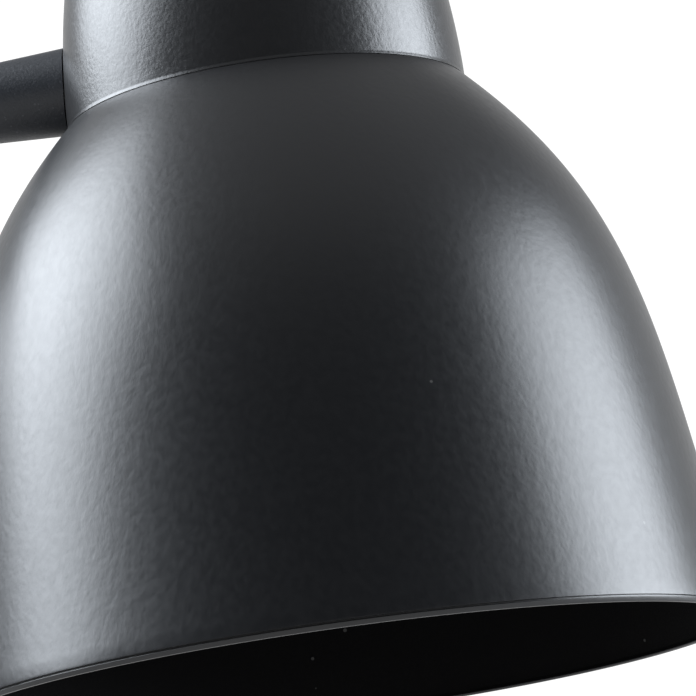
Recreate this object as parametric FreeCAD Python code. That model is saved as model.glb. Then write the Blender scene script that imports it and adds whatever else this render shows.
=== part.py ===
"""Arc floor lamp: weighted base, two-piece pole, swivelling quarter-circle arm and a bell-shaded head.

Millimetres. The origin is the centre of the base's underside on the floor, +Z is up and the arm
reaches out along +X.
"""
import FreeCAD
import Part
import math
import os

V = FreeCAD.Vector

# Clearances shared by the whole lamp
THREAD_GAP = 0.03
FIT_GAP = 0.05
RUN_GAP = 0.05

# Cutters: a drill's length, and how far a cutter stands clear of what it cuts
DRILL_L = 20.0
CLEAR = 5.0

# Base
PAD_R = 134.0
PAD_T = 3.0
PAD_CHAMFER = 0.8
WEIGHT_R = 132.0
WEIGHT_TOP = 27.0
WEIGHT_CHAMFER = 3.0
RECESS_R = 26.0
RECESS_TOP = 20.5
CHANNEL_W = 9.0
CHANNEL_TOP = 12.0
COVER_R = 140.0
COVER_T = 1.5
COVER_EDGE_R = 10.0
COVER_BOTTOM = 2.0
BASE_HOLE_R = 6.6
LEAD_Z = 7.5

# Hollow threaded rods and nuts of the pole
ROD_R = 6.5
ROD_BORE_R = 5.0
BASE_ROD_BOTTOM = 13.0
BASE_ROD_TOP = 50.0
BASE_NUT_AF = 17.0
BASE_NUT_H = 5.0
NUT_CHAMFER = 0.35
BASE_WASHER_R = 20.0
WASHER_GAP = 0.2
BASE_WASHER_T = 2.0

# Cord gland in the cover's skirt
GLAND_BORE_R = 3.1
GLAND_R = 4.1
GLAND_FLANGE_R = 5.5
GLAND_FLANGE_T = 2.0
GLAND_LENGTH = 6.0
GLAND_CHAMFER = 0.5

# Pole
POLE_R = 11.0
POLE_WALL = 1.2
POLE_BOTTOM = WEIGHT_TOP + COVER_T
POLE_JOINT_Z = 570.0
POLE_WASHER_T = 1.0
POLE_TOP = 1100.0
PLUG_R = POLE_R - POLE_WALL - FIT_GAP
PLUG_L = 20.0
JOINT_PLUG_L = 25.0
JOINT_ROD_HALF = 20.0
FOOT_R = 20.0
FOOT_TOP_R = 12.6
FOOT_H = 13.5
FOOT_SKIRT_H = 2.5
FOOT_SWEEP = 2.4
FOOT_SWEEP_H = 5.4
FOOT_LIP = 1.0
FOOT_LIP_IN = 0.6

# Swivel collar on top of the pole
COLLAR_R = 15.0
COLLAR_BOTTOM = 1085.0
COLLAR_TOP = 1150.0
COLLAR_CHAMFER = 1.5
COLLAR_WEB_T = 4.0
COLLAR_WEB_HOLE_R = 6.0
COLLAR_BORE_R = 9.5
THRUST_GAP = 0.1
THRUST_T = 1.5
BUSH_LOWER_H = 12.0
BUSH_UPPER_BOTTOM = 1132.0
BUSH_FLANGE_R = 12.0
BUSH_FLANGE_T = 1.5
CLAMP_Z = 1125.0

# Clamp screw with its knurled knob
CLAMP_R = 3.0
SLUG_R = 2.4
SLUG_OUT = 10.5
SCREW_TIP = 10.6
KNOB_IN = 18.0
KNOB_OUT = 30.0
KNOB_R = 10.0
KNOB_BOSS_R = 5.5
KNOB_FLUTES = 14
KNOB_FLUTE_R = 1.3
KNOB_FLUTE_OUT = 0.5
KNOB_CHAMFER = 1.0
KNOB_CAP_T = 4.0
KNOB_GAP = 0.5

# Arm: a tube bent through a quarter circle
ARM_R = 8.0
ARM_WALL = 1.2
ARM_SHANK_TOP = 1180.0
ARC_R = 400.0
ARM_Z = ARM_SHANK_TOP + ARC_R
ARM_END = 470.0
ARM_BOTTOM = POLE_TOP + COLLAR_WEB_T + THRUST_T
STOP_HEAD_R = 2.0
STOP_HEAD_OUT = 9.2
STOP_SHANK_R = 1.5
STOP_SHANK_IN = 5.6

# Spindle in the arm's tip that the head turns on
TIP_PLUG_IN = 455.0
TIP_FLANGE_T = 1.5
TIP_R = 5.0
TIP_BORE_R = 3.5
TIP_END = 485.5
TIP_WASHER_T = 0.5
TIP_WASHER_IN = 0.2
TIP_WASHER_GAP = 0.1

# Side stub of the head
STUB_FACE = 472.0
STUB_WALL_T = 5.0
STUB_BORE_R = 7.0
STUB_R_AT_NECK = 9.88
STUB_NECK_X = 497.0
STUB_TAPER = 0.054
STUB_OVERRUN = 6.0
STUB_EDGE_R = 0.6
WAVE_IN = 0.4
WAVE_T = 1.5
TIP_NUT_T = 3.3
TIP_NUT_AF = 11.0
TAB_T = 2.7
TAB_RING_R = 5.7
TAB_REACH = 6.75
TAB_W = 2.5
STUB_STOP_R = 1.2
STUB_STOP_X = 483.5
STUB_STOP_IN = 6.05
STUB_STOP_SUNK = 0.2

# Head
HEAD_X = 542.0
SEAM_BELOW_ARM = 11.8
SEAM_Z = ARM_Z - SEAM_BELOW_ARM
NECK_R = 45.0
NECK_BARREL_R = 165.0
NECK_H = 70.0
NECK_WALL = 0.9
NECK_SHOULDER_R = 16.0
NECK_GAP = 0.35

# Bell shade: one cubic curve from the seam down to the hemmed rim
BELL_DEPTH = 128.0
BELL_RIM_R = 88.0
BELL_TOP_ANGLE = 44.5
BELL_TOP_PULL = 47.8
BELL_RIM_ANGLE = 8.0
BELL_RIM_PULL = 67.7
BELL_WALL = 0.9
BELL_STEPS = 28
BISECTIONS = 40
BEAD_R = 1.0
BEAD_RISE = 2.4
SHADE_HOLE_R = 20.3

# M10 side and top nipples, bracket and nuts inside the neck
NIPPLE_R = 5.0
NIPPLE_BORE_R = 3.6
NIPPLE_HOLE_R = 5.05
INSERT_IN = 488.0
INSERT_OUT = 496.0
SIDE_NIPPLE_END = 514.0
SADDLE_R = 9.0
SADDLE_GAP = 0.02
BRACKET_X = 505.0
BRACKET_T = 2.0
BRACKET_W = 16.0
BRACKET_RISE = 36.0
BRACKET_END = 554.0
BRACKET_LEAD_X = 519.0
BRACKET_LEAD_HOLE_R = 3.4
LOCK_WASHER_T = 1.0
LOCK_WASHER_R = 7.5
BRACKET_NUT_T = 4.0
NUT_AF = 14.0

# E27 lampholder
SKIRT_R = 19.5
SKIRT_BORE_R = 17.0
SKIRT_DROP = 30.0
SKIRT_CHAMFER = 0.8
SHOULDER_R = 23.0
SHOULDER_T = 3.0
DOME_TOP = 34.0
DOME_WALL = 2.0
DOME_ROOF = 4.0
DOME_EDGE_R = 9.0
DOME_WASHER_R = 9.0
CORE_R = 16.6
CORE_BOTTOM = -3.0
CORE_TOP = 14.0
TERMINAL_Y = 10.0
TERMINAL_DEPTH = 5.0
TERMINAL_R = 1.9
TERMINAL_HOLE_R = 2.0
TERMINAL_HEAD_R = 2.8
TERMINAL_HEAD_T = 1.8
TERMINAL_SLOT_W = 0.8
CONTACT_R = 2.5
SHELL_R = 14.1
SHELL_BORE_R = 13.6
SHELL_BOTTOM = -27.0
TOP_NIPPLE_BOTTOM = 24.0
TOP_NIPPLE_TOP = 44.0
RING_R = 29.0
RING_T = 3.0
RING_CHAMFER = 1.0
RING_NOTCHES = 12
RING_NOTCH_R = 2.0
RING_NOTCH_OUT = 0.8

# Lamp bulb, 60 mm globe on an E27 cap
CAP_R = 13.2
CAP_TOP = -7.0
CAP_BOTTOM = -29.0
CAP_TOP_R = 10.2
CAP_TURNS = 6
CAP_BEVEL_H = 2.0
THREAD_DEPTH = 0.6
THREAD_LAND = 0.3
TIP_CONTACT_R = 4.0
TIP_TOP = -5.0
COLLAR_LOW = -50.0
COLLAR_CAP_GAP = 0.4
COLLAR_WAIST_R = 14.4
COLLAR_WAIST = -33.0
COLLAR_FLARE_R = 21.0
COLLAR_FLARE = -46.0
GLOBE_R = 30.0
GLOBE_CENTRE = -80.0
GLOBE_WALL = 1.2
GLOBE_NECK_R = 23.0
GLOBE_WAIST = 0.93

# Rotary switch in the crown of the neck
SWITCH_R = 12.0
SWITCH_BOTTOM = 50.0
SWITCH_TOP = 68.1
SWITCH_BUSH_R = 5.0
SWITCH_BUSH_TOP = 77.0
SWITCH_NUT_T = 2.5
SWITCH_NUT_AF = 13.0
SWITCH_WASHER_R = 9.0
SPINDLE_R = 3.0
SPINDLE_BOTTOM = 58.3
SPINDLE_HOLE_BOTTOM = 58.0
SPINDLE_TOP = 87.0
DIAL_R = 11.0
DIAL_BOTTOM = 73.2
DIAL_SOCKET_R = 8.6
DIAL_SOCKET_TOP = 78.0
DIAL_TOP = 90.0
DIAL_FOOT = 0.5
DIAL_DRAFT = 0.8
DIAL_EDGE = 1.5
DIAL_FLUTES = 20
DIAL_FLUTE_R = 0.9
DIAL_FLUTE_OUT = 0.5

# Internal mains lead
LEAD_R = 2.6
LEAD_BEND = 9.0
LEAD_IN_X = -132.5
LEAD_SPLIT_Z = 1105.0
LEAD_SPLIT_X = 486.0
HEAD_BEND = 5.0
TOP_BEND = 6.0
LEAD_IN_SWITCH = 1.0

DOWN = V(0, 0, -1)
UP = V(0, 0, 1)
ALONG = V(1, 0, 0)
ACROSS = V(0, 1, 0)


def ring(r_out, r_in, z0, z1, x=0.0):
    """Upright tube, or a rod when the bore is nil."""
    body = Part.makeCylinder(r_out, z1 - z0, V(x, 0, z0), UP)
    if r_in > 0:
        body = body.cut(Part.makeCylinder(r_in, z1 - z0 + 2, V(x, 0, z0 - 1), UP))
    return body


def ring_x(r_out, r_in, x0, x1, z=ARM_Z):
    """Tube lying along the arm's tip."""
    body = Part.makeCylinder(r_out, x1 - x0, V(x0, 0, z), ALONG)
    if r_in > 0:
        body = body.cut(Part.makeCylinder(r_in, x1 - x0 + 2, V(x0 - 1, 0, z), ALONG))
    return body


def drill(radius, start, facing):
    """Cutter for a round hole."""
    return Part.makeCylinder(radius, DRILL_L, start, facing)


def end_rim(body, facing):
    """Closed edge that lies furthest along a direction."""
    closed = [e for e in body.Edges if e.Closed]
    return max(closed, key=lambda e: e.CenterOfMass.dot(facing))


def hexagon(af, height, bore_r):
    """Nut standing on the XY plane."""
    corner = af / math.sqrt(3)
    points = []
    for i in range(7):
        angle = math.radians(60 * i)
        points.append(V(corner * math.cos(angle), corner * math.sin(angle), 0))
    body = Part.Face(Part.makePolygon(points)).extrude(V(0, 0, height))
    body = body.common(Part.makeCone(corner, corner + height, height, V(0, 0, 0), UP).fuse(
        Part.makeCylinder(corner - NUT_CHAMFER, height)))
    return body.cut(drill(bore_r, V(0, 0, -CLEAR), UP))


def nut(af, bore_r, z0, z1, x=0.0):
    body = hexagon(af, z1 - z0, bore_r)
    body.translate(V(x, 0, z0))
    return body


def nut_x(af, bore_r, x0, x1):
    body = hexagon(af, x1 - x0, bore_r)
    body.rotate(V(0, 0, 0), ACROSS, 90)
    body.translate(V(x0, 0, ARM_Z))
    return body


def turned(points, x=0.0):
    """Solid of revolution about the upright axis at x, from a list of (radius, height)."""
    loop = [V(x + r, 0, z) for r, z in points]
    loop.append(loop[0])
    return Part.Face(Part.makePolygon(loop)).revolve(V(x, 0, 0), UP, 360)


def bend(radius, start, facing, pivot, angle):
    """Round bar bent about the Y direction through pivot."""
    disc = Part.Face(Part.Wire(Part.makeCircle(radius, start, facing)))
    return disc.revolve(pivot, ACROSS, angle)


# ---- base ----

def floor_pad():
    pad = ring(PAD_R, 0, 0, PAD_T)
    return pad.makeChamfer(PAD_CHAMFER, [end_rim(pad, DOWN)])


def base_weight():
    body = turned([
        (BASE_HOLE_R, RECESS_TOP),
        (RECESS_R, RECESS_TOP),
        (RECESS_R, PAD_T),
        (WEIGHT_R - WEIGHT_CHAMFER / 2, PAD_T),
        (WEIGHT_R, PAD_T + WEIGHT_CHAMFER / 2),
        (WEIGHT_R, WEIGHT_TOP - WEIGHT_CHAMFER),
        (WEIGHT_R - WEIGHT_CHAMFER, WEIGHT_TOP),
        (BASE_HOLE_R, WEIGHT_TOP),
    ])
    channel = Part.makeBox(WEIGHT_R, CHANNEL_W, CHANNEL_TOP, V(-WEIGHT_R - CLEAR, -CHANNEL_W / 2, 0))
    return body.cut(channel)


def base_cover():
    inner_r = COVER_R - COVER_T
    bend_r = COVER_R - COVER_EDGE_R
    bend_z = POLE_BOTTOM - COVER_EDGE_R
    q = math.sqrt(0.5)
    inner_bend = COVER_EDGE_R - COVER_T
    edges = [
        Part.makeLine(V(BASE_HOLE_R, 0, POLE_BOTTOM), V(bend_r, 0, POLE_BOTTOM)),
        Part.Arc(V(bend_r, 0, POLE_BOTTOM), V(bend_r + COVER_EDGE_R * q, 0, bend_z + COVER_EDGE_R * q),
                 V(COVER_R, 0, bend_z)).toShape(),
        Part.makeLine(V(COVER_R, 0, bend_z), V(COVER_R, 0, COVER_BOTTOM)),
        Part.makeLine(V(COVER_R, 0, COVER_BOTTOM), V(inner_r, 0, COVER_BOTTOM)),
        Part.makeLine(V(inner_r, 0, COVER_BOTTOM), V(inner_r, 0, bend_z)),
        Part.Arc(V(inner_r, 0, bend_z), V(bend_r + inner_bend * q, 0, bend_z + inner_bend * q),
                 V(bend_r, 0, WEIGHT_TOP)).toShape(),
        Part.makeLine(V(bend_r, 0, WEIGHT_TOP), V(BASE_HOLE_R, 0, WEIGHT_TOP)),
        Part.makeLine(V(BASE_HOLE_R, 0, WEIGHT_TOP), V(BASE_HOLE_R, 0, POLE_BOTTOM)),
    ]
    dish = Part.Face(Part.Wire(edges)).revolve(V(0, 0, 0), UP, 360)
    return dish.cut(drill(GLAND_R + FIT_GAP, V(-COVER_R - CLEAR, 0, LEAD_Z), ALONG))


def base_washer():
    return ring(BASE_WASHER_R, ROD_R + WASHER_GAP, RECESS_TOP - BASE_WASHER_T, RECESS_TOP)


def base_nut():
    top = RECESS_TOP - BASE_WASHER_T
    return nut(BASE_NUT_AF, ROD_R + THREAD_GAP, top - BASE_NUT_H, top)


def base_rod():
    return ring(ROD_R, ROD_BORE_R, BASE_ROD_BOTTOM, BASE_ROD_TOP)


def cord_gland():
    body = ring_x(GLAND_R, 0, -COVER_R, -COVER_R + GLAND_LENGTH, LEAD_Z)
    flange = ring_x(GLAND_FLANGE_R, 0, -COVER_R - GLAND_FLANGE_T, -COVER_R, LEAD_Z)
    flange = flange.makeChamfer(GLAND_CHAMFER, [end_rim(flange, -ALONG)])
    bore = drill(GLAND_BORE_R, V(-COVER_R - CLEAR, 0, LEAD_Z), ALONG)
    return body.fuse(flange).removeSplitter().cut(bore)


# ---- pole ----

def pole_foot():
    top = POLE_BOTTOM + FOOT_H
    bore = POLE_R + FIT_GAP
    skirt = V(FOOT_R, 0, POLE_BOTTOM + FOOT_SKIRT_H)
    sweep = V(FOOT_TOP_R + FOOT_SWEEP, 0, POLE_BOTTOM + FOOT_SWEEP_H)
    lip = V(FOOT_TOP_R, 0, top - FOOT_LIP)
    edges = [
        Part.makeLine(V(bore, 0, POLE_BOTTOM), V(FOOT_R, 0, POLE_BOTTOM)),
        Part.makeLine(V(FOOT_R, 0, POLE_BOTTOM), skirt),
        Part.Arc(skirt, sweep, lip).toShape(),
        Part.makeLine(lip, V(FOOT_TOP_R - FOOT_LIP_IN, 0, top)),
        Part.makeLine(V(FOOT_TOP_R - FOOT_LIP_IN, 0, top), V(bore, 0, top)),
        Part.makeLine(V(bore, 0, top), V(bore, 0, POLE_BOTTOM)),
    ]
    return Part.Face(Part.Wire(edges)).revolve(V(0, 0, 0), UP, 360)


def pole_plug():
    return ring(PLUG_R, ROD_R + THREAD_GAP, POLE_BOTTOM, POLE_BOTTOM + PLUG_L)


def pole_lower():
    return ring(POLE_R, POLE_R - POLE_WALL, POLE_BOTTOM, POLE_JOINT_Z)


def joint_plugs():
    """One threaded plug in the end of each pole length."""
    bottom = POLE_JOINT_Z + POLE_WASHER_T
    lower = ring(PLUG_R, ROD_R + THREAD_GAP, POLE_JOINT_Z - JOINT_PLUG_L, POLE_JOINT_Z)
    upper = ring(PLUG_R, ROD_R + THREAD_GAP, bottom, bottom + JOINT_PLUG_L)
    return Part.makeCompound([lower, upper])


def joint_washer():
    return ring(POLE_R, ROD_R + WASHER_GAP, POLE_JOINT_Z, POLE_JOINT_Z + POLE_WASHER_T)


def joint_rod():
    return ring(ROD_R, ROD_BORE_R, POLE_JOINT_Z - JOINT_ROD_HALF, POLE_JOINT_Z + JOINT_ROD_HALF)


def pole_upper():
    return ring(POLE_R, POLE_R - POLE_WALL, POLE_JOINT_Z + POLE_WASHER_T, POLE_TOP)


# ---- swivel collar ----

def swivel_collar():
    c = COLLAR_CHAMFER
    web_top = POLE_TOP + COLLAR_WEB_T
    body = turned([
        (POLE_R + FIT_GAP, COLLAR_BOTTOM),
        (COLLAR_R - c, COLLAR_BOTTOM),
        (COLLAR_R, COLLAR_BOTTOM + c),
        (COLLAR_R, COLLAR_TOP - c),
        (COLLAR_R - c, COLLAR_TOP),
        (COLLAR_BORE_R, COLLAR_TOP),
        (COLLAR_BORE_R, web_top),
        (COLLAR_WEB_HOLE_R, web_top),
        (COLLAR_WEB_HOLE_R, POLE_TOP),
        (POLE_R + FIT_GAP, POLE_TOP),
    ])
    return body.cut(drill(CLAMP_R + THREAD_GAP, V(-COLLAR_R - CLEAR, 0, CLAMP_Z), ALONG))


def thrust_washer():
    bottom = POLE_TOP + COLLAR_WEB_T
    return ring(COLLAR_BORE_R - THRUST_GAP, COLLAR_WEB_HOLE_R, bottom, bottom + THRUST_T)


def lower_bush():
    return ring(COLLAR_BORE_R - FIT_GAP, ARM_R + RUN_GAP, ARM_BOTTOM, ARM_BOTTOM + BUSH_LOWER_H)


def upper_bush():
    bore_r = ARM_R + RUN_GAP
    sleeve = ring(COLLAR_BORE_R - FIT_GAP, bore_r, BUSH_UPPER_BOTTOM, COLLAR_TOP)
    flange = ring(BUSH_FLANGE_R, bore_r, COLLAR_TOP, COLLAR_TOP + BUSH_FLANGE_T)
    return sleeve.fuse(flange).removeSplitter()


def clamp_slug():
    """Short plug in the screw's way, hollowed to fit the arm's shank."""
    plug = ring_x(SLUG_R, 0, -SLUG_OUT, 0, CLAMP_Z)
    return plug.cut(ring(ARM_R + RUN_GAP, 0, CLAMP_Z - CLEAR, CLAMP_Z + CLEAR))


def clamp_screw():
    return ring_x(CLAMP_R, 0, -KNOB_OUT + KNOB_CAP_T, -SCREW_TIP, CLAMP_Z)


def clamp_knob():
    head = ring_x(KNOB_R, 0, -KNOB_OUT, -KNOB_IN, CLAMP_Z)
    head = head.makeChamfer(KNOB_CHAMFER, [e for e in head.Edges if e.Closed])
    for i in range(KNOB_FLUTES):
        angle = 2 * math.pi * i / KNOB_FLUTES
        y = (KNOB_R + KNOB_FLUTE_OUT) * math.cos(angle)
        z = CLAMP_Z + (KNOB_R + KNOB_FLUTE_OUT) * math.sin(angle)
        head = head.cut(drill(KNOB_FLUTE_R, V(-KNOB_OUT - CLEAR, y, z), ALONG))
    boss = ring_x(KNOB_BOSS_R, 0, -KNOB_IN, -COLLAR_R - KNOB_GAP, CLAMP_Z)
    hole = drill(CLAMP_R, V(-KNOB_OUT + KNOB_CAP_T, 0, CLAMP_Z), ALONG)
    return head.fuse(boss).removeSplitter().cut(hole)


# ---- arm ----

def arc_tube():
    inner_r = ARM_R - ARM_WALL
    tube = ring(ARM_R, inner_r, ARM_BOTTOM, ARM_SHANK_TOP)
    tube = tube.cut(drill(STOP_SHANK_R + THREAD_GAP, V(0, 0, CLAMP_Z), ALONG))
    start = V(0, 0, ARM_SHANK_TOP)
    pivot = V(ARC_R, 0, ARM_SHANK_TOP)
    arc = bend(ARM_R, start, UP, pivot, 90).cut(bend(inner_r, start, UP, pivot, 90))
    level = ring_x(ARM_R, inner_r, ARC_R, ARM_END)
    return tube.fuse([arc, level])


def arc_stop_screw():
    """Screw in the arm's shank; its head fits the tube and meets the slug at the end of travel."""
    shank = ring_x(STOP_SHANK_R, 0, STOP_SHANK_IN, STOP_HEAD_OUT, CLAMP_Z)
    head = ring_x(STOP_HEAD_R, 0, ARM_R - STOP_HEAD_R, STOP_HEAD_OUT, CLAMP_Z)
    head = head.cut(ring(ARM_R, 0, CLAMP_Z - CLEAR, CLAMP_Z + CLEAR))
    return shank.fuse(head).removeSplitter()


def tip_spindle():
    plug = ring_x(ARM_R - ARM_WALL - FIT_GAP, TIP_BORE_R, TIP_PLUG_IN, ARM_END)
    flange = ring_x(ARM_R, TIP_BORE_R, ARM_END, ARM_END + TIP_FLANGE_T)
    rod = ring_x(TIP_R, TIP_BORE_R, ARM_END + TIP_FLANGE_T, TIP_END)
    return plug.fuse([flange, rod]).removeSplitter()


def tip_washer():
    start = ARM_END + TIP_FLANGE_T
    return ring_x(ARM_R - TIP_WASHER_IN, TIP_R + TIP_WASHER_GAP, start, start + TIP_WASHER_T)


def wave_washer():
    start = STUB_FACE + STUB_WALL_T
    return ring_x(STUB_BORE_R - WAVE_IN, TIP_R + TIP_WASHER_GAP, start, start + WAVE_T)


def tip_nut():
    start = STUB_FACE + STUB_WALL_T + WAVE_T
    return nut_x(TIP_NUT_AF, TIP_R + THREAD_GAP, start, start + TIP_NUT_T)


def tab_washer():
    start = STUB_FACE + STUB_WALL_T + WAVE_T + TIP_NUT_T
    disc = ring_x(TAB_RING_R, 0, start, start + TAB_T)
    tab = Part.makeBox(TAB_T, TAB_W, TAB_REACH, V(start, -TAB_W / 2, ARM_Z))
    bore = drill(TIP_R + THREAD_GAP, V(start - CLEAR, 0, ARM_Z), ALONG)
    return disc.fuse(tab).removeSplitter().cut(bore)


# ---- head: side stub ----

def neck_profile(shrink):
    """Outer form of the neck, taken in by shrink: a barrel that closes over a round shoulder."""
    barrel = NECK_BARREL_R - shrink
    top = SEAM_Z + NECK_H - shrink
    low = SEAM_Z + NECK_GAP
    centre_r = NECK_R - NECK_BARREL_R

    def radius(z):
        return centre_r + math.sqrt(barrel ** 2 - (z - SEAM_Z) ** 2)

    middle = (low + top) / 2
    side = Part.Arc(V(HEAD_X + radius(low), 0, low), V(HEAD_X + radius(middle), 0, middle),
                    V(HEAD_X + radius(top), 0, top)).toShape()
    edges = [
        Part.makeLine(V(HEAD_X, 0, low), V(HEAD_X + radius(low), 0, low)),
        side,
        Part.makeLine(V(HEAD_X + radius(top), 0, top), V(HEAD_X, 0, top)),
        Part.makeLine(V(HEAD_X, 0, top), V(HEAD_X, 0, low)),
    ]
    body = Part.Face(Part.Wire(edges)).revolve(V(HEAD_X, 0, 0), UP, 360)
    crown = [e for e in body.Edges if e.Closed and abs(e.BoundBox.ZMin - top) < 0.01]
    crown = [e for e in crown if abs(e.BoundBox.ZMax - top) < 0.01]
    return body.makeFillet(NECK_SHOULDER_R - shrink, crown)


def stub_radius(x):
    return STUB_R_AT_NECK + STUB_TAPER * (x - STUB_NECK_X)


def side_stub():
    """Taper, hollow from the neck side, coped to the neck's barrel."""
    end = STUB_NECK_X + STUB_OVERRUN
    cone = Part.makeCone(stub_radius(STUB_FACE), stub_radius(end), end - STUB_FACE,
                         V(STUB_FACE, 0, ARM_Z), ALONG)
    cone = cone.makeFillet(STUB_EDGE_R, [end_rim(cone, -ALONG)])
    hollow = ring_x(STUB_BORE_R, 0, STUB_FACE + STUB_WALL_T, end + CLEAR)
    bore = drill(TIP_R + RUN_GAP, V(STUB_FACE - CLEAR, 0, ARM_Z), ALONG)
    stop = drill(STUB_STOP_R + THREAD_GAP, V(STUB_STOP_X, 0, ARM_Z), DOWN)
    return cone.cut(neck_profile(0)).cut(hollow).cut(bore).cut(stop)


def stub_stop_screw():
    reach = stub_radius(STUB_STOP_X) - STUB_STOP_IN - STUB_STOP_SUNK
    return Part.makeCylinder(STUB_STOP_R, reach, V(STUB_STOP_X, 0, ARM_Z - STUB_STOP_IN), DOWN)


def stub_insert():
    return ring_x(STUB_BORE_R - FIT_GAP, NIPPLE_R + THREAD_GAP, INSERT_IN, INSERT_OUT)


def side_nipple():
    return ring_x(NIPPLE_R, NIPPLE_BORE_R, INSERT_IN, SIDE_NIPPLE_END)


# ---- head: neck and what is inside it ----

def neck_cup():
    shell = neck_profile(0).cut(neck_inside())
    side = drill(NIPPLE_HOLE_R, V(HEAD_X - NECK_R - CLEAR, 0, ARM_Z), ALONG)
    crown = drill(NIPPLE_HOLE_R, V(HEAD_X, 0, SEAM_Z + NECK_H - CLEAR), UP)
    return shell.cut(side).cut(crown)


def neck_inside():
    low = SEAM_Z + NECK_GAP
    return neck_profile(NECK_WALL).fuse(ring(NECK_R - NECK_WALL, 0, low - CLEAR, low, HEAD_X))


def saddle_washer():
    block = ring_x(SADDLE_R, NIPPLE_HOLE_R, HEAD_X - NECK_R - CLEAR, BRACKET_X)
    return block.common(neck_profile(NECK_WALL + SADDLE_GAP))


def holder_bracket():
    top = SEAM_Z + BRACKET_RISE + BRACKET_T
    bottom = ARM_Z - SADDLE_R
    leg = Part.makeBox(BRACKET_T, BRACKET_W, top - bottom, V(BRACKET_X, -BRACKET_W / 2, bottom))
    shelf = Part.makeBox(BRACKET_END - BRACKET_X, BRACKET_W, BRACKET_T,
                         V(BRACKET_X, -BRACKET_W / 2, SEAM_Z + BRACKET_RISE))
    plate = leg.fuse(shelf).removeSplitter()
    side = drill(NIPPLE_HOLE_R, V(BRACKET_X - CLEAR, 0, ARM_Z), ALONG)
    middle = drill(NIPPLE_HOLE_R, V(HEAD_X, 0, top - CLEAR), UP)
    lead = drill(BRACKET_LEAD_HOLE_R, V(BRACKET_LEAD_X, 0, top - CLEAR), UP)
    return plate.cut(side).cut(middle).cut(lead)


def lock_washer():
    start = BRACKET_X + BRACKET_T
    return ring_x(LOCK_WASHER_R, NIPPLE_HOLE_R, start, start + LOCK_WASHER_T)


def top_nipple():
    return ring(NIPPLE_R, NIPPLE_BORE_R, SEAM_Z + TOP_NIPPLE_BOTTOM, SEAM_Z + TOP_NIPPLE_TOP, HEAD_X)


def bracket_nuts():
    """The two M10 nuts: one on the side nipple, one on the lampholder's nipple."""
    left = BRACKET_X + BRACKET_T + LOCK_WASHER_T
    low = SEAM_Z + BRACKET_RISE + BRACKET_T
    side = nut_x(NUT_AF, NIPPLE_R + THREAD_GAP, left, left + BRACKET_NUT_T)
    top = nut(NUT_AF, NIPPLE_R + THREAD_GAP, low, low + BRACKET_NUT_T, HEAD_X)
    return Part.makeCompound([side, top])


def dome_washer():
    return ring(DOME_WASHER_R, NIPPLE_HOLE_R, SEAM_Z + DOME_TOP, SEAM_Z + BRACKET_RISE, HEAD_X)


# ---- head: lampholder ----

def holder_dome():
    bottom = SEAM_Z + SHOULDER_T
    top = SEAM_Z + DOME_TOP
    body = ring(SKIRT_R, 0, bottom, top, HEAD_X)
    body = body.makeFillet(DOME_EDGE_R, [end_rim(body, UP)])
    room = ring(SKIRT_R - DOME_WALL, 0, bottom - CLEAR, top - DOME_ROOF, HEAD_X)
    room = room.makeFillet(DOME_EDGE_R - DOME_WALL, [end_rim(room, UP)])
    bore = drill(NIPPLE_R + THREAD_GAP, V(HEAD_X, 0, top - CLEAR), UP)
    return body.cut(room).cut(bore)


def holder_skirt():
    return turned([
        (SKIRT_BORE_R, SEAM_Z - SKIRT_DROP),
        (SKIRT_R - SKIRT_CHAMFER, SEAM_Z - SKIRT_DROP),
        (SKIRT_R, SEAM_Z - SKIRT_DROP + SKIRT_CHAMFER),
        (SKIRT_R, SEAM_Z),
        (SHOULDER_R, SEAM_Z),
        (SHOULDER_R, SEAM_Z + SHOULDER_T),
        (SKIRT_BORE_R, SEAM_Z + SHOULDER_T),
    ], HEAD_X)


def holder_core():
    body = ring(CORE_R, 0, SEAM_Z + CORE_BOTTOM, SEAM_Z + CORE_TOP, HEAD_X)
    for y in (-TERMINAL_Y, TERMINAL_Y):
        body = body.cut(drill(TERMINAL_HOLE_R, V(HEAD_X, y, SEAM_Z + CORE_TOP - TERMINAL_DEPTH), UP))
    return body


def terminal_screws():
    """Two slotted screws that hold the lead's ends."""
    low = SEAM_Z + CORE_TOP - TERMINAL_DEPTH
    screws = []
    for y in (-TERMINAL_Y, TERMINAL_Y):
        shank = Part.makeCylinder(TERMINAL_R, TERMINAL_DEPTH, V(HEAD_X, y, low), UP)
        head = Part.makeCylinder(TERMINAL_HEAD_R, TERMINAL_HEAD_T, V(HEAD_X, y, SEAM_Z + CORE_TOP), UP)
        corner = V(HEAD_X - CLEAR, y - TERMINAL_SLOT_W / 2, SEAM_Z + CORE_TOP + TERMINAL_HEAD_T / 2)
        slot = Part.makeBox(2 * CLEAR, TERMINAL_SLOT_W, TERMINAL_HEAD_T, corner)
        screws.append(shank.fuse(head).removeSplitter().cut(slot))
    return Part.makeCompound(screws)


def screw_shell():
    return ring(SHELL_R, SHELL_BORE_R, SEAM_Z + SHELL_BOTTOM, SEAM_Z + CORE_BOTTOM, HEAD_X)


def centre_contact():
    return ring(CONTACT_R, 0, SEAM_Z + TIP_TOP, SEAM_Z + CORE_BOTTOM, HEAD_X)


def shade_ring():
    top = SEAM_Z - BELL_WALL
    body = turned([
        (SKIRT_R + THREAD_GAP, top - RING_T),
        (RING_R - RING_CHAMFER, top - RING_T),
        (RING_R, top - RING_T + RING_CHAMFER),
        (RING_R, top),
        (SKIRT_R + THREAD_GAP, top),
    ], HEAD_X)
    for i in range(RING_NOTCHES):
        angle = 2 * math.pi * i / RING_NOTCHES
        x = HEAD_X + (RING_R + RING_NOTCH_OUT) * math.cos(angle)
        y = (RING_R + RING_NOTCH_OUT) * math.sin(angle)
        body = body.cut(drill(RING_NOTCH_R, V(x, y, top - RING_T - CLEAR), UP))
    return body


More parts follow.
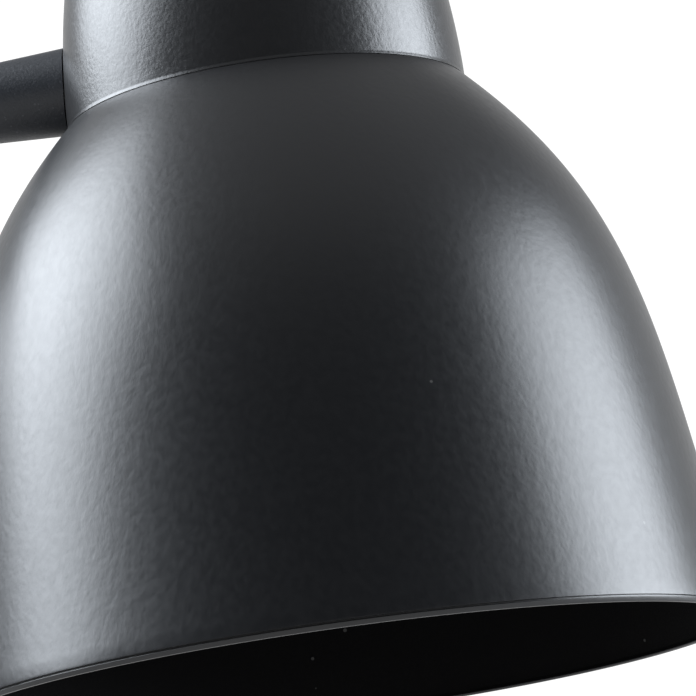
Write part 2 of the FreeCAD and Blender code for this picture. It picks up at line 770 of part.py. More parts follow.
# ---- head: bell shade ----

def bell_point(t, inset):
    """Point of the bell's meridian, moved square to the sheet by inset: (radius, depth)."""
    a = math.radians(BELL_TOP_ANGLE)
    b = math.radians(BELL_RIM_ANGLE)
    p = [
        (NECK_R, 0.0),
        (NECK_R + BELL_TOP_PULL * math.sin(a), BELL_TOP_PULL * math.cos(a)),
        (BELL_RIM_R - BELL_RIM_PULL * math.sin(b), BELL_DEPTH - BELL_RIM_PULL * math.cos(b)),
        (BELL_RIM_R, BELL_DEPTH),
    ]
    w = [(1 - t) ** 3, 3 * t * (1 - t) ** 2, 3 * t * t * (1 - t), t ** 3]
    d = [-3 * (1 - t) ** 2, 3 * (1 - t) * (1 - 3 * t), 3 * t * (2 - 3 * t), 3 * t * t]
    r = sum(w[i] * p[i][0] for i in range(4))
    h = sum(w[i] * p[i][1] for i in range(4))
    dr = sum(d[i] * p[i][0] for i in range(4))
    dh = sum(d[i] * p[i][1] for i in range(4))
    size = math.hypot(dr, dh)
    return r - inset * dh / size, h + inset * dr / size


def bell_t(depth, inset):
    """Parameter at which the meridian reaches the given depth."""
    low = 0.0
    high = 1.0
    for _ in range(BISECTIONS):
        t = (low + high) / 2
        if bell_point(t, inset)[1] < depth:
            low = t
        else:
            high = t
    return t


def bell_curve(inset, start_depth, end_depth):
    t0 = bell_t(start_depth, inset)
    t1 = bell_t(end_depth, inset)
    points = []
    for i in range(BELL_STEPS + 1):
        r, h = bell_point(t0 + (t1 - t0) * i / BELL_STEPS, inset)
        points.append(V(HEAD_X + r, 0, SEAM_Z - h))
    curve = Part.BSplineCurve()
    curve.interpolate(points)
    return curve.toShape(), points[0], points[-1]


def shade():
    hem = BELL_DEPTH - BEAD_RISE
    outer, top, outer_end = bell_curve(0.0, 0.0, hem)
    inner, inner_top, inner_end = bell_curve(BELL_WALL, BELL_WALL, hem)
    rim_z = SEAM_Z - BELL_DEPTH
    tip = V(HEAD_X + BELL_RIM_R - BEAD_R, 0, rim_z)
    bead_out = V(HEAD_X + BELL_RIM_R, 0, rim_z + BEAD_R)
    bead_in = V(HEAD_X + BELL_RIM_R - 2 * BEAD_R, 0, rim_z + BEAD_R)
    hole = HEAD_X + SHADE_HOLE_R
    edges = [
        Part.makeLine(V(hole, 0, SEAM_Z), top),
        outer,
        Part.Arc(outer_end, bead_out, tip).toShape(),
        Part.Arc(tip, bead_in, inner_end).toShape(),
        inner,
        Part.makeLine(inner_top, V(hole, 0, SEAM_Z - BELL_WALL)),
        Part.makeLine(V(hole, 0, SEAM_Z - BELL_WALL), V(hole, 0, SEAM_Z)),
    ]
    wire = Part.Wire(Part.__sortEdges__(edges))
    return Part.Face(wire).revolve(V(HEAD_X, 0, 0), UP, 360)


# ---- head: bulb ----

def bulb_cap():
    low = SEAM_Z + CAP_BOTTOM
    root_r = CAP_R - THREAD_DEPTH
    pitch = (CAP_TOP - CAP_BOTTOM - CAP_BEVEL_H) / CAP_TURNS
    points = [(0, low), (root_r, low)]
    for i in range(CAP_TURNS):
        points.append((root_r, low + pitch * i + THREAD_LAND))
        points.append((CAP_R, low + pitch * (i + 0.5)))
        points.append((root_r, low + pitch * (i + 1) - THREAD_LAND))
    points.append((CAP_TOP_R, SEAM_Z + CAP_TOP))
    points.append((0, SEAM_Z + CAP_TOP))
    return turned(points, HEAD_X)


def bulb_contact():
    return ring(TIP_CONTACT_R, 0, SEAM_Z + CAP_TOP, SEAM_Z + TIP_TOP, HEAD_X)


def bulb_collar():
    return turned([
        (0, SEAM_Z + CAP_BOTTOM),
        (CAP_R + COLLAR_CAP_GAP, SEAM_Z + CAP_BOTTOM),
        (COLLAR_WAIST_R, SEAM_Z + COLLAR_WAIST),
        (COLLAR_FLARE_R, SEAM_Z + COLLAR_FLARE),
        (GLOBE_NECK_R, SEAM_Z + COLLAR_LOW),
        (0, SEAM_Z + COLLAR_LOW),
    ], HEAD_X)


def bulb_globe():
    """Ball that runs up in a cone to its collar, hollow."""
    centre = SEAM_Z + GLOBE_CENTRE
    top = SEAM_Z + COLLAR_LOW

    def bowl(radius, neck_r):
        waist_r = radius * GLOBE_WAIST
        waist = centre + math.sqrt(radius ** 2 - waist_r ** 2)
        ball = Part.makeSphere(radius, V(HEAD_X, 0, centre)).cut(ring(GLOBE_R, 0, waist, top, HEAD_X))
        return ball.fuse(Part.makeCone(waist_r, neck_r, top - waist, V(HEAD_X, 0, waist), UP))

    return bowl(GLOBE_R, GLOBE_NECK_R).cut(bowl(GLOBE_R - GLOBE_WALL, GLOBE_NECK_R - GLOBE_WALL))


# ---- head: rotary switch ----

def switch_body():
    block = ring(SWITCH_R, 0, SEAM_Z + SWITCH_BOTTOM, SEAM_Z + SWITCH_TOP, HEAD_X)
    bush = ring(SWITCH_BUSH_R, 0, SEAM_Z + SWITCH_TOP, SEAM_Z + SWITCH_BUSH_TOP, HEAD_X)
    hole = drill(SPINDLE_R + RUN_GAP, V(HEAD_X, 0, SEAM_Z + SPINDLE_HOLE_BOTTOM), UP)
    return block.fuse(bush).removeSplitter().cut(hole)


def switch_washer():
    return ring(SWITCH_WASHER_R, NIPPLE_HOLE_R, SEAM_Z + SWITCH_TOP, SEAM_Z + NECK_H - NECK_WALL, HEAD_X)


def switch_nut():
    start = SEAM_Z + NECK_H
    return nut(SWITCH_NUT_AF, SWITCH_BUSH_R + THREAD_GAP, start, start + SWITCH_NUT_T, HEAD_X)


def switch_spindle():
    return ring(SPINDLE_R, 0, SEAM_Z + SPINDLE_BOTTOM, SEAM_Z + SPINDLE_TOP, HEAD_X)


def switch_dial():
    body = turned([
        (0, SEAM_Z + DIAL_BOTTOM),
        (DIAL_R - DIAL_FOOT, SEAM_Z + DIAL_BOTTOM),
        (DIAL_R, SEAM_Z + DIAL_BOTTOM + DIAL_FOOT),
        (DIAL_R - DIAL_DRAFT, SEAM_Z + DIAL_TOP - DIAL_EDGE),
        (DIAL_R - DIAL_DRAFT - DIAL_EDGE, SEAM_Z + DIAL_TOP),
        (0, SEAM_Z + DIAL_TOP),
    ], HEAD_X)
    for i in range(DIAL_FLUTES):
        angle = 2 * math.pi * i / DIAL_FLUTES
        x = HEAD_X + (DIAL_R + DIAL_FLUTE_OUT) * math.cos(angle)
        y = (DIAL_R + DIAL_FLUTE_OUT) * math.sin(angle)
        body = body.cut(drill(DIAL_FLUTE_R, V(x, y, SEAM_Z + DIAL_BOTTOM - CLEAR / 2), UP))
    socket = ring(DIAL_SOCKET_R, 0, SEAM_Z + DIAL_BOTTOM - CLEAR, SEAM_Z + DIAL_SOCKET_TOP, HEAD_X)
    bore = ring(SPINDLE_R, 0, SEAM_Z + DIAL_BOTTOM - CLEAR, SEAM_Z + SPINDLE_TOP, HEAD_X)
    return body.cut(socket).cut(bore)


# ---- internal lead ----

def lead_pole():
    """From the gland along the channel, round a bend and up the pole to the arm's swivel."""
    along = Part.makeCylinder(LEAD_R, -LEAD_BEND - LEAD_IN_X, V(LEAD_IN_X, 0, LEAD_Z), ALONG)
    pivot = V(-LEAD_BEND, 0, LEAD_Z + LEAD_BEND)
    turn = bend(LEAD_R, V(-LEAD_BEND, 0, LEAD_Z), ALONG, pivot, -90)
    up = ring(LEAD_R, 0, LEAD_Z + LEAD_BEND, LEAD_SPLIT_Z)
    return along.fuse([turn, up])


def lead_arm():
    """Through the arm from its swivel to the head's swivel."""
    up = ring(LEAD_R, 0, LEAD_SPLIT_Z, ARM_SHANK_TOP)
    arc = bend(LEAD_R, V(0, 0, ARM_SHANK_TOP), UP, V(ARC_R, 0, ARM_SHANK_TOP), 90)
    level = ring_x(LEAD_R, 0, ARC_R, LEAD_SPLIT_X)
    return up.fuse([arc, level])


def lead_head():
    """Through the side nipple, up past the lampholder and into the side of the switch."""
    level = ring_x(LEAD_R, 0, LEAD_SPLIT_X, SIDE_NIPPLE_END)
    pivot = V(SIDE_NIPPLE_END, 0, ARM_Z + HEAD_BEND)
    turn = bend(LEAD_R, V(SIDE_NIPPLE_END, 0, ARM_Z), ALONG, pivot, -90)
    x = SIDE_NIPPLE_END + HEAD_BEND
    top = SEAM_Z + (SWITCH_BOTTOM + SPINDLE_HOLE_BOTTOM) / 2 - TOP_BEND
    up = ring(LEAD_R, 0, ARM_Z + HEAD_BEND, top, x)
    over = bend(LEAD_R, V(x, 0, top), UP, V(x + TOP_BEND, 0, top), 90)
    end = ring_x(LEAD_R, 0, x + TOP_BEND, HEAD_X - SWITCH_R + LEAD_IN_SWITCH, top + TOP_BEND)
    can = ring(SWITCH_R, 0, SEAM_Z + SWITCH_BOTTOM - CLEAR, SEAM_Z + SWITCH_TOP, HEAD_X)
    return level.fuse([turn, up, over, end]).cut(can)


def lead_holder():
    """From the switch down through the top nipple to the lampholder's core."""
    return ring(LEAD_R, 0, SEAM_Z + CORE_TOP, SEAM_Z + SWITCH_BOTTOM, HEAD_X)


PIECES = [
    floor_pad, base_weight, base_cover, base_washer, base_nut, base_rod, cord_gland, pole_foot,
    pole_plug, pole_lower, joint_plugs, joint_washer, joint_rod, pole_upper, swivel_collar,
    thrust_washer, lower_bush, upper_bush, clamp_slug, clamp_screw, clamp_knob, arc_tube,
    arc_stop_screw, tip_spindle, tip_washer, wave_washer, tip_nut, tab_washer, side_stub,
    stub_stop_screw, stub_insert, side_nipple, neck_cup, saddle_washer, holder_bracket, lock_washer,
    bracket_nuts, top_nipple, dome_washer, holder_dome, holder_skirt, holder_core, terminal_screws,
    screw_shell, centre_contact, shade_ring, shade, bulb_cap, bulb_contact, bulb_collar, bulb_globe,
    switch_body, switch_washer, switch_nut, switch_spindle, switch_dial, lead_pole, lead_arm,
    lead_head, lead_holder,
]


def main():
    os.makedirs("parts", exist_ok=True)
    for piece in PIECES:
        piece().exportStep("parts/" + piece.__name__ + ".step")


main()
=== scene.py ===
"""Arc floor lamp: the looks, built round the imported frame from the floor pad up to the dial."""
import math

import bmesh
import bpy
from mathutils import Matrix, Vector


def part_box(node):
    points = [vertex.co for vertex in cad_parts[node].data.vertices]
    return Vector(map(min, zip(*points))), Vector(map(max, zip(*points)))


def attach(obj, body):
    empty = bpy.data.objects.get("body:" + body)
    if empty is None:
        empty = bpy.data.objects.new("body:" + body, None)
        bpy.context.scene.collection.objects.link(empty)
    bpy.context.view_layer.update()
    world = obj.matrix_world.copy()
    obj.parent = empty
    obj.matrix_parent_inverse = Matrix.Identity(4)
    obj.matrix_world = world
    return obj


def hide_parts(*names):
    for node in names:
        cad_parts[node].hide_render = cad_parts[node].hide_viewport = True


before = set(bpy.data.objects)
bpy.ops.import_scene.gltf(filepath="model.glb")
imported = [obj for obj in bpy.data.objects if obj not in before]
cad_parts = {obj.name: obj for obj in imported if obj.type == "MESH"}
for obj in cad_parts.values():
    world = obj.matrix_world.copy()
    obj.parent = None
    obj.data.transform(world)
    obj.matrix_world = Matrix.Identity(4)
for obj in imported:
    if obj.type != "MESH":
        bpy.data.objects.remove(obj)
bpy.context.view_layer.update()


# ---- floor pad ----
# A disc of black foam rubber stuck under the base. It is cut from sheet, so its face is
# open-grained and its edge plain. The lamp stands on it.

MM = 0.001


def rounded(corners, closed=True, steps=5):
    """Outline in mm through corners (radius, height, rounding), each rounding turned to an arc."""
    points = []
    last = len(corners) - 1
    for i, (r, h, rounding) in enumerate(corners):
        here = Vector((r, h))
        if rounding == 0 or (not closed and i in (0, last)):
            points.append(here)
            continue
        back = (Vector(corners[i - 1][:2]) - here).normalized()
        ahead = (Vector(corners[(i + 1) % (last + 1)][:2]) - here).normalized()
        half = back.angle(ahead) / 2
        reach = rounding / math.tan(half)
        centre = here + (back + ahead).normalized() * rounding / math.sin(half)
        first = (here + back * reach - centre).normalized()
        final = (here + ahead * reach - centre).normalized()
        for k in range(steps + 1):
            points.append(centre + rounding * first.slerp(final, k / steps))
    return points


def upright(x=0.0):
    """Axis of a piece turned about a vertical line at x: its place and two square directions."""
    return lambda h: (Vector((x, 0, h)), Vector((1, 0, 0)), Vector((0, 1, 0)))


def spin(name, outline, axis, sides=96, closed=True, shape=None):
    """Turned piece: an outline of (radius, height) points in mm carried round an axis."""
    bm = bmesh.new()
    rings = []
    for r, h in outline:
        centre, out, side = axis(h)
        if r < 1e-6:
            rings.append([bm.verts.new(centre * MM)] * sides)
            continue
        ring = []
        for k in range(sides):
            angle = 2 * math.pi * k / sides
            radius = shape(r, h, angle) if shape else r
            spot = centre + out * radius * math.cos(angle) + side * radius * math.sin(angle)
            ring.append(bm.verts.new(spot * MM))
        rings.append(ring)
    pairs = list(zip(rings, rings[1:]))
    if closed:
        pairs.append((rings[-1], rings[0]))
    for low, high in pairs:
        for k in range(sides):
            corners = list(dict.fromkeys([low[k - 1], low[k], high[k], high[k - 1]]))
            if len(corners) > 2:
                bm.faces.new(corners)
    bmesh.ops.recalc_face_normals(bm, faces=bm.faces)
    mesh = bpy.data.meshes.new(name)
    bm.to_mesh(mesh)
    bm.free()
    mesh.shade_smooth()
    mesh.set_sharp_from_angle(angle=math.radians(35))
    piece = bpy.data.objects.new(name, mesh)
    bpy.context.scene.collection.objects.link(piece)
    return piece


def fit(piece, body, slot, material, *nodes):
    """Finish a piece, fasten it to its body and let it stand for its CAD nodes."""
    piece.data.materials.append(material)
    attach(piece, body)
    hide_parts(*nodes)
    return piece


def size_of(node):
    """Half width across Y, lowest and highest level of a CAD node, in mm."""
    low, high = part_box(node)
    return (high.y - low.y) / 2 / MM, low.z / MM, high.z / MM


def put(tree, kind, sockets=None, **settings):
    """Add a shader node with its settings and its sockets' values or links."""
    node = tree.nodes.new(kind)
    for key, value in settings.items():
        setattr(node, key, value)
    for key, value in (sockets or {}).items():
        if isinstance(value, bpy.types.NodeSocket):
            tree.links.new(value, node.inputs[key])
        else:
            node.inputs[key].default_value = value
    return node


def maths(tree, operation, a, b=0.0):
    return put(tree, "ShaderNodeMath", {0: a, 1: b}, operation=operation).outputs[0]


def effect(name, inputs, outputs):
    """Start the node group of one effect: inputs are {name: default} numbers."""
    tree = bpy.data.node_groups.new(name, "ShaderNodeTree")
    for label, value in inputs.items():
        socket = tree.interface.new_socket(label, in_out="INPUT", socket_type="NodeSocketFloat")
        socket.default_value = value
    for label in outputs:
        tree.interface.new_socket(label, in_out="OUTPUT", socket_type="NodeSocketFloat")
    return tree, put(tree, "NodeGroupInput").outputs, put(tree, "NodeGroupOutput").inputs


def surface_grain():
    """Height in mm of a coat or skin, with its two layers: a broad peel and a fine grit."""
    tree, given, out = effect("surface_grain", {
        "Peel Size": 2.0,
        "Peel Depth": 0.004,
        "Grit Size": 0.4,
        "Grit Depth": 0.001,
        "Stretch": 1.0,
    }, ["Height", "Peel", "Grit"])
    spot = put(tree, "ShaderNodeTexCoord").outputs["Object"]
    along = maths(tree, "DIVIDE", 1.0, given["Stretch"])
    squeeze = put(tree, "ShaderNodeCombineXYZ", {0: 1.0, 1: 1.0, 2: along}).outputs[0]
    spot = put(tree, "ShaderNodeVectorMath", {0: spot, 1: squeeze}, operation="MULTIPLY").outputs[0]
    heights = []
    for layer, detail in (("Peel", 1.0), ("Grit", 2.0)):
        scale = maths(tree, "DIVIDE", 1 / MM, given[layer + " Size"])
        noise = put(tree, "ShaderNodeTexNoise", {"Vector": spot, "Scale": scale, "Detail": detail})
        heights.append(maths(tree, "MULTIPLY", noise.outputs["Fac"], given[layer + " Depth"]))
        tree.links.new(noise.outputs["Fac"], out[layer])
    tree.links.new(maths(tree, "ADD", *heights), out["Height"])
    return tree


GRAIN = surface_grain()


def place(tree, group, **values):
    """Put an effect in a material; values are its inputs' names in lower case."""
    node = put(tree, "ShaderNodeGroup", node_tree=group)
    for key, value in values.items():
        node.inputs[key.replace("_", " ").title()].default_value = value
    return node.outputs


def finish(name, **constants):
    """Start a material; constants are the shader's plain sockets in lower case."""
    material = bpy.data.materials.new(name)
    material.use_nodes = True
    shader = material.node_tree.nodes["Principled BSDF"]
    for key, value in constants.items():
        label = key.replace("_", " ").title().replace("Ior", "IOR")
        shader.inputs[label].default_value = value
    return material, material.node_tree, shader


def colour(tree, shader, plain, marked, mask):
    """Base colour that goes from plain to marked over a mask."""
    mix = put(tree, "ShaderNodeMix", {0: mask, 6: (*plain, 1), 7: (*marked, 1)}, data_type="RGBA")
    tree.links.new(mix.outputs[2], shader.inputs["Base Color"])


def ramp(tree, value, start, end, low, high):
    """Number that goes from low to high as a value goes from start to end."""
    spans = {"Value": value, "From Min": start, "From Max": end, "To Min": low, "To Max": high}
    return put(tree, "ShaderNodeMapRange", spans).outputs[0]


def roughness(tree, shader, low, high, mask):
    """Roughness that goes from low to high over a noise."""
    tree.links.new(ramp(tree, mask, 0.3, 0.7, low, high), shader.inputs["Roughness"])


def bump(tree, shader, height):
    """Raise the surface by a height in mm."""
    node = put(tree, "ShaderNodeBump", {"Height": height, "Distance": MM, "Strength": 1.0})
    tree.links.new(node.outputs["Normal"], shader.inputs["Normal"])


def foam():
    material, tree, shader = finish("pad_foam", specular_ior_level=0.25)
    grain = place(tree, GRAIN, peel_size=1.6, peel_depth=0.12, grit_size=0.35, grit_depth=0.1)
    colour(tree, shader, (0.02, 0.02, 0.021), (0.055, 0.055, 0.057), grain["Grit"])
    roughness(tree, shader, 0.8, 0.95, grain["Peel"])
    bump(tree, shader, grain["Height"])
    return material


pad_r, pad_low, pad_high = size_of("floor_pad")
pad_outline = rounded([
    (0, pad_low, 0),
    (pad_r, pad_low, 0.8),
    (pad_r, pad_high, 0.3),
    (0, pad_high, 0),
], closed=False)
fit(spin("pad_disc", pad_outline, upright(), 160, closed=False), "stand", "pad_foam", foam(),
    "floor_pad")


# ---- weight and its fixings ----
# A cast iron disc with a recess and a channel for the lead. A hollow threaded rod, a washer and
# a nut of zinc-plated steel draw the pole down on it.

def dress(material, *nodes):
    """Give pieces that stay as they were designed their finish."""
    for name in nodes:
        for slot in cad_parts[name].material_slots:
            slot.material = material


def cast_iron():
    material, tree, shader = finish("cast_iron", metallic=0.6)
    grain = place(tree, GRAIN, peel_size=6.0, peel_depth=0.25, grit_size=0.8, grit_depth=0.15)
    colour(tree, shader, (0.09, 0.088, 0.085), (0.17, 0.155, 0.14), grain["Peel"])
    roughness(tree, shader, 0.6, 0.85, grain["Grit"])
    bump(tree, shader, grain["Height"])
    return material


def zinc_plate():
    material, tree, shader = finish("zinc_plate", metallic=1.0)
    grain = place(tree, GRAIN, peel_size=3.0, peel_depth=0.004, grit_size=0.25, grit_depth=0.003,
                  stretch=4.0)
    colour(tree, shader, (0.56, 0.57, 0.58), (0.68, 0.67, 0.62), grain["Peel"])
    roughness(tree, shader, 0.22, 0.42, grain["Grit"])
    bump(tree, shader, grain["Height"])
    return material


ZINC = zinc_plate()
dress(cast_iron(), "base_weight")
dress(ZINC, "base_washer", "base_nut", "base_rod")


# ---- base cover ----
# A dish spun from 1.5 mm steel sheet, with a round edge and a turned-down skirt. It hides the
# weight. Powder coated in a fine sandy black, the coat of everything from here to the head.

def stray_specks():
    """Mask of sparse specks: a share of the cells of a spacing in mm hold one."""
    sizes = {"Spacing": 4.0, "Speck Size": 0.2, "Share": 0.3}
    tree, given, out = effect("stray_specks", sizes, ["Mask"])
    spot = put(tree, "ShaderNodeTexCoord").outputs["Object"]
    scale = maths(tree, "DIVIDE", 1 / MM, given["Spacing"])
    cells = put(tree, "ShaderNodeTexVoronoi", {"Vector": spot, "Scale": scale}).outputs
    lot = put(tree, "ShaderNodeSeparateColor", {"Color": cells["Color"]}).outputs
    kept = maths(tree, "LESS_THAN", lot["Red"], given["Share"])
    ratio = maths(tree, "DIVIDE", given["Speck Size"], given["Spacing"])
    near = maths(tree, "LESS_THAN", cells["Distance"], maths(tree, "MULTIPLY", ratio, lot["Green"]))
    tree.links.new(maths(tree, "MULTIPLY", kept, near), out["Mask"])
    return tree


SPECKS = stray_specks()


def sandy_black():
    material, tree, shader = finish("sandy_black", specular_ior_level=0.5)
    grain = place(tree, GRAIN, peel_size=0.9, peel_depth=0.04, grit_size=0.4, grit_depth=0.05)
    specks = place(tree, SPECKS, spacing=0.8, speck_size=0.28, share=0.3)
    colour(tree, shader, (0.0095, 0.0122, 0.0175), (0.036, 0.04, 0.047), specks["Mask"])
    roughness(tree, shader, 0.38, 0.52, grain["Grit"])
    bump(tree, shader, grain["Height"])
    return material


SANDY_BLACK = sandy_black()
COVER_WALL = 1.5
COVER_EDGE_R = 10.0
COVER_HOLE_R = 6.6
cover_r, cover_low, cover_high = size_of("base_cover")
cover_outline = rounded([
    (COVER_HOLE_R, cover_high, 0.3),
    (cover_r, cover_high, COVER_EDGE_R),
    (cover_r, cover_low, 0.5),
    (cover_r - COVER_WALL, cover_low, 0.4),
    (cover_r - COVER_WALL, cover_high - COVER_WALL, COVER_EDGE_R - COVER_WALL),
    (COVER_HOLE_R, cover_high - COVER_WALL, 0.3),
], steps=12)
fit(spin("cover_dish", cover_outline, upright(), 256), "stand", "fine_black", SANDY_BLACK, "base_cover")


# ---- cord gland ----
# A moulded bush pushed through the cover's skirt, with a flange outside. It keeps the lead off
# the sheet's edge.

def lying(level):
    """Axis of a piece turned about a line along X at a level."""
    return lambda x: (Vector((x, 0, level)), Vector((0, 1, 0)), Vector((0, 0, 1)))


def moulded_black():
    material, tree, shader = finish("moulded_black", specular_ior_level=0.45)
    grain = place(tree, GRAIN, peel_size=0.7, peel_depth=0.012, grit_size=0.2, grit_depth=0.008)
    colour(tree, shader, (0.018, 0.018, 0.019), (0.028, 0.028, 0.029), grain["Peel"])
    roughness(tree, shader, 0.34, 0.5, grain["Grit"])
    bump(tree, shader, grain["Height"])
    return material


MOULDED_BLACK = moulded_black()
GLAND_BORE_R = 3.1
GLAND_SLEEVE_R = 4.1
gland_low, gland_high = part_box("cord_gland")
gland_r = size_of("cord_gland")[0]
gland_level = (gland_low.z + gland_high.z) / 2 / MM
gland_out = gland_low.x / MM
gland_outline = rounded([
    (GLAND_BORE_R, gland_out, 0.5),
    (gland_r, gland_out, 0.6),
    (gland_r, -cover_r, 0.2),
    (GLAND_SLEEVE_R, -cover_r, 0.1),
    (GLAND_SLEEVE_R, gland_high.x / MM, 0.3),
    (GLAND_BORE_R, gland_high.x / MM, 0.3),
])
fit(spin("gland_bush", gland_outline, lying(gland_level), 64), "stand", "black_plastic",
    MOULDED_BLACK, "cord_gland")


# ---- pole foot ----
# A turned ring that slides down the pole and covers the hole in the base cover. Its side
# sweeps in from the skirt to a thin lip round the tube.

FIT_GAP = 0.05
FOOT_SKIRT_H = 2.5
FOOT_LIP_H = 1.0
FOOT_LIP_R = 12.6
SWEEP_STEPS = 16
foot_r, foot_low, foot_high = size_of("pole_foot")
pole_r, pole_low, pole_joint = size_of("pole_lower")
sweep_w = foot_r - FOOT_LIP_R
sweep_h = foot_high - FOOT_LIP_H - foot_low - FOOT_SKIRT_H
foot_outline = rounded([
    (pole_r + FIT_GAP, foot_low, 0),
    (foot_r, foot_low, 0.3),
    (foot_r, foot_low + FOOT_SKIRT_H - 0.5, 0),
], closed=False)
for k in range(SWEEP_STEPS + 1):
    angle = math.pi / 2 * k / SWEEP_STEPS
    foot_outline.append(Vector((foot_r - sweep_w * math.sin(angle),
                                foot_high - FOOT_LIP_H - sweep_h * math.cos(angle))))
foot_outline += rounded([
    (FOOT_LIP_R, foot_high - FOOT_LIP_H + 0.2, 0),
    (FOOT_LIP_R, foot_high, 0.5),
    (pole_r + FIT_GAP, foot_high, 0),
], closed=False)
fit(spin("foot_ring", foot_outline, upright(), 128), "stand", "fine_black", SANDY_BLACK, "pole_foot")


# ---- pole ----
# Two lengths of 22 mm steel tube screwed end to end over a threaded rod, with a thin plastic
# washer in the joint. Plugs pressed in the tubes' ends take the rod.

POLE_WALL = 1.2
JOINT_WASHER_BORE_R = 6.7
JOINT_WASHER_R = pole_r - 0.3


def ring_outline(outer_r, bore_r, low, high, outer_edge, bore_edge):
    """Outline of a plain ring or tube, with its edges rounded."""
    return rounded([
        (outer_r, low, outer_edge),
        (outer_r, high, outer_edge),
        (bore_r, high, bore_edge),
        (bore_r, low, bore_edge),
    ])


def tube(name, low, high):
    outline = ring_outline(pole_r, pole_r - POLE_WALL, low, high, 0.4, 0.2)
    return spin(name, outline, upright(), 96)


pole_top = size_of("pole_upper")[2]
washer_top = size_of("joint_washer")[2]
fit(tube("pole_length_lower", pole_low, pole_joint), "stand", "fine_black", SANDY_BLACK,
    "pole_lower")
fit(tube("pole_length_upper", washer_top, pole_top), "stand", "fine_black", SANDY_BLACK,
    "pole_upper")
washer_outline = ring_outline(JOINT_WASHER_R, JOINT_WASHER_BORE_R, pole_joint, washer_top, 0.3, 0.1)
fit(spin("joint_ring", washer_outline, upright(), 96), "stand", "black_plastic", MOULDED_BLACK,
    "joint_washer")
dress(ZINC, "pole_plug", "joint_plugs", "joint_rod")


# ---- swivel collar ----
# A collar turned from steel bar and pressed on the pole's top. The arm's shank drops into it and
# turns in two nylon bushes, on a nylon washer.

def natural_nylon():
    material, tree, shader = finish("natural_nylon", specular_ior_level=0.4)
    grain = place(tree, GRAIN, peel_size=1.5, peel_depth=0.01, grit_size=0.3, grit_depth=0.006)
    colour(tree, shader, (0.78, 0.77, 0.71), (0.86, 0.85, 0.81), grain["Peel"])
    roughness(tree, shader, 0.4, 0.55, grain["Grit"])
    bump(tree, shader, grain["Height"])
    return material


NYLON = natural_nylon()
COLLAR_BORE_R = 9.5
COLLAR_CHAMFER = 1.5
COLLAR_WEB_T = 4.0
COLLAR_WEB_HOLE_R = 6.0
collar_r, collar_low, collar_high = size_of("swivel_collar")
collar_outline = rounded([
    (pole_r + FIT_GAP, collar_low, 0.2),
    (collar_r - COLLAR_CHAMFER, collar_low, 0.4),
    (collar_r, collar_low + COLLAR_CHAMFER, 0.4),
    (collar_r, collar_high - COLLAR_CHAMFER, 0.4),
    (collar_r - COLLAR_CHAMFER, collar_high, 0.4),
    (COLLAR_BORE_R, collar_high, 0.2),
    (COLLAR_BORE_R, pole_top + COLLAR_WEB_T, 0),
    (COLLAR_WEB_HOLE_R, pole_top + COLLAR_WEB_T, 0),
    (COLLAR_WEB_HOLE_R, pole_top, 0),
    (pole_r + FIT_GAP, pole_top, 0),
])
fit(spin("collar_turned", collar_outline, upright(), 128), "stand", "fine_black", SANDY_BLACK,
    "swivel_collar")

bush_r, bush_low, bush_high = size_of("upper_bush")
shank_r = size_of("arc_tube")[0]
bush_outline = rounded([
    (shank_r + FIT_GAP, bush_low, 0.2),
    (COLLAR_BORE_R - FIT_GAP, bush_low, 0.2),
    (COLLAR_BORE_R - FIT_GAP, collar_high, 0),
    (bush_r, collar_high, 0.1),
    (bush_r, bush_high, 0.7),
    (shank_r + FIT_GAP, bush_high, 0.3),
])
fit(spin("bush_flanged", bush_outline, upright(), 96), "stand", "black_plastic", MOULDED_BLACK,
    "upper_bush")
dress(NYLON, "thrust_washer", "lower_bush", "clamp_slug")


# ---- clamp knob ----
# A hand screw in the collar's side that presses a nylon slug on the shank. The knob is turned
# from bar with milled grips, and coated like the collar.

def scalloped(edge_r, count, cutter_r, cutter_out):
    """Shape of a turned edge whose rim is notched by a round cutter."""
    centre = edge_r + cutter_out

    def shape(r, h, angle):
        turns = angle * count / (2 * math.pi)
        off = (turns - round(turns)) * 2 * math.pi / count
        across = centre * math.sin(off)
        if abs(across) >= cutter_r:
            return r
        return min(r, centre * math.cos(off) - math.sqrt(cutter_r ** 2 - across ** 2))

    return shape


def rubbed_black():
    material, tree, shader = finish("rubbed_black", specular_ior_level=0.5)
    grain = place(tree, GRAIN, peel_size=1.2, peel_depth=0.02, grit_size=0.3, grit_depth=0.012)
    crest = put(tree, "ShaderNodeNewGeometry").outputs["Pointiness"]
    worn = ramp(tree, crest, 0.53, 0.62, 0.0, 0.7)
    rubbed = maths(tree, "MULTIPLY", worn, grain["Peel"])
    colour(tree, shader, (0.014, 0.0148, 0.016), (0.06, 0.06, 0.06), rubbed)
    roughness(tree, shader, 0.36, 0.5, grain["Grit"])
    bump(tree, shader, grain["Height"])
    return material


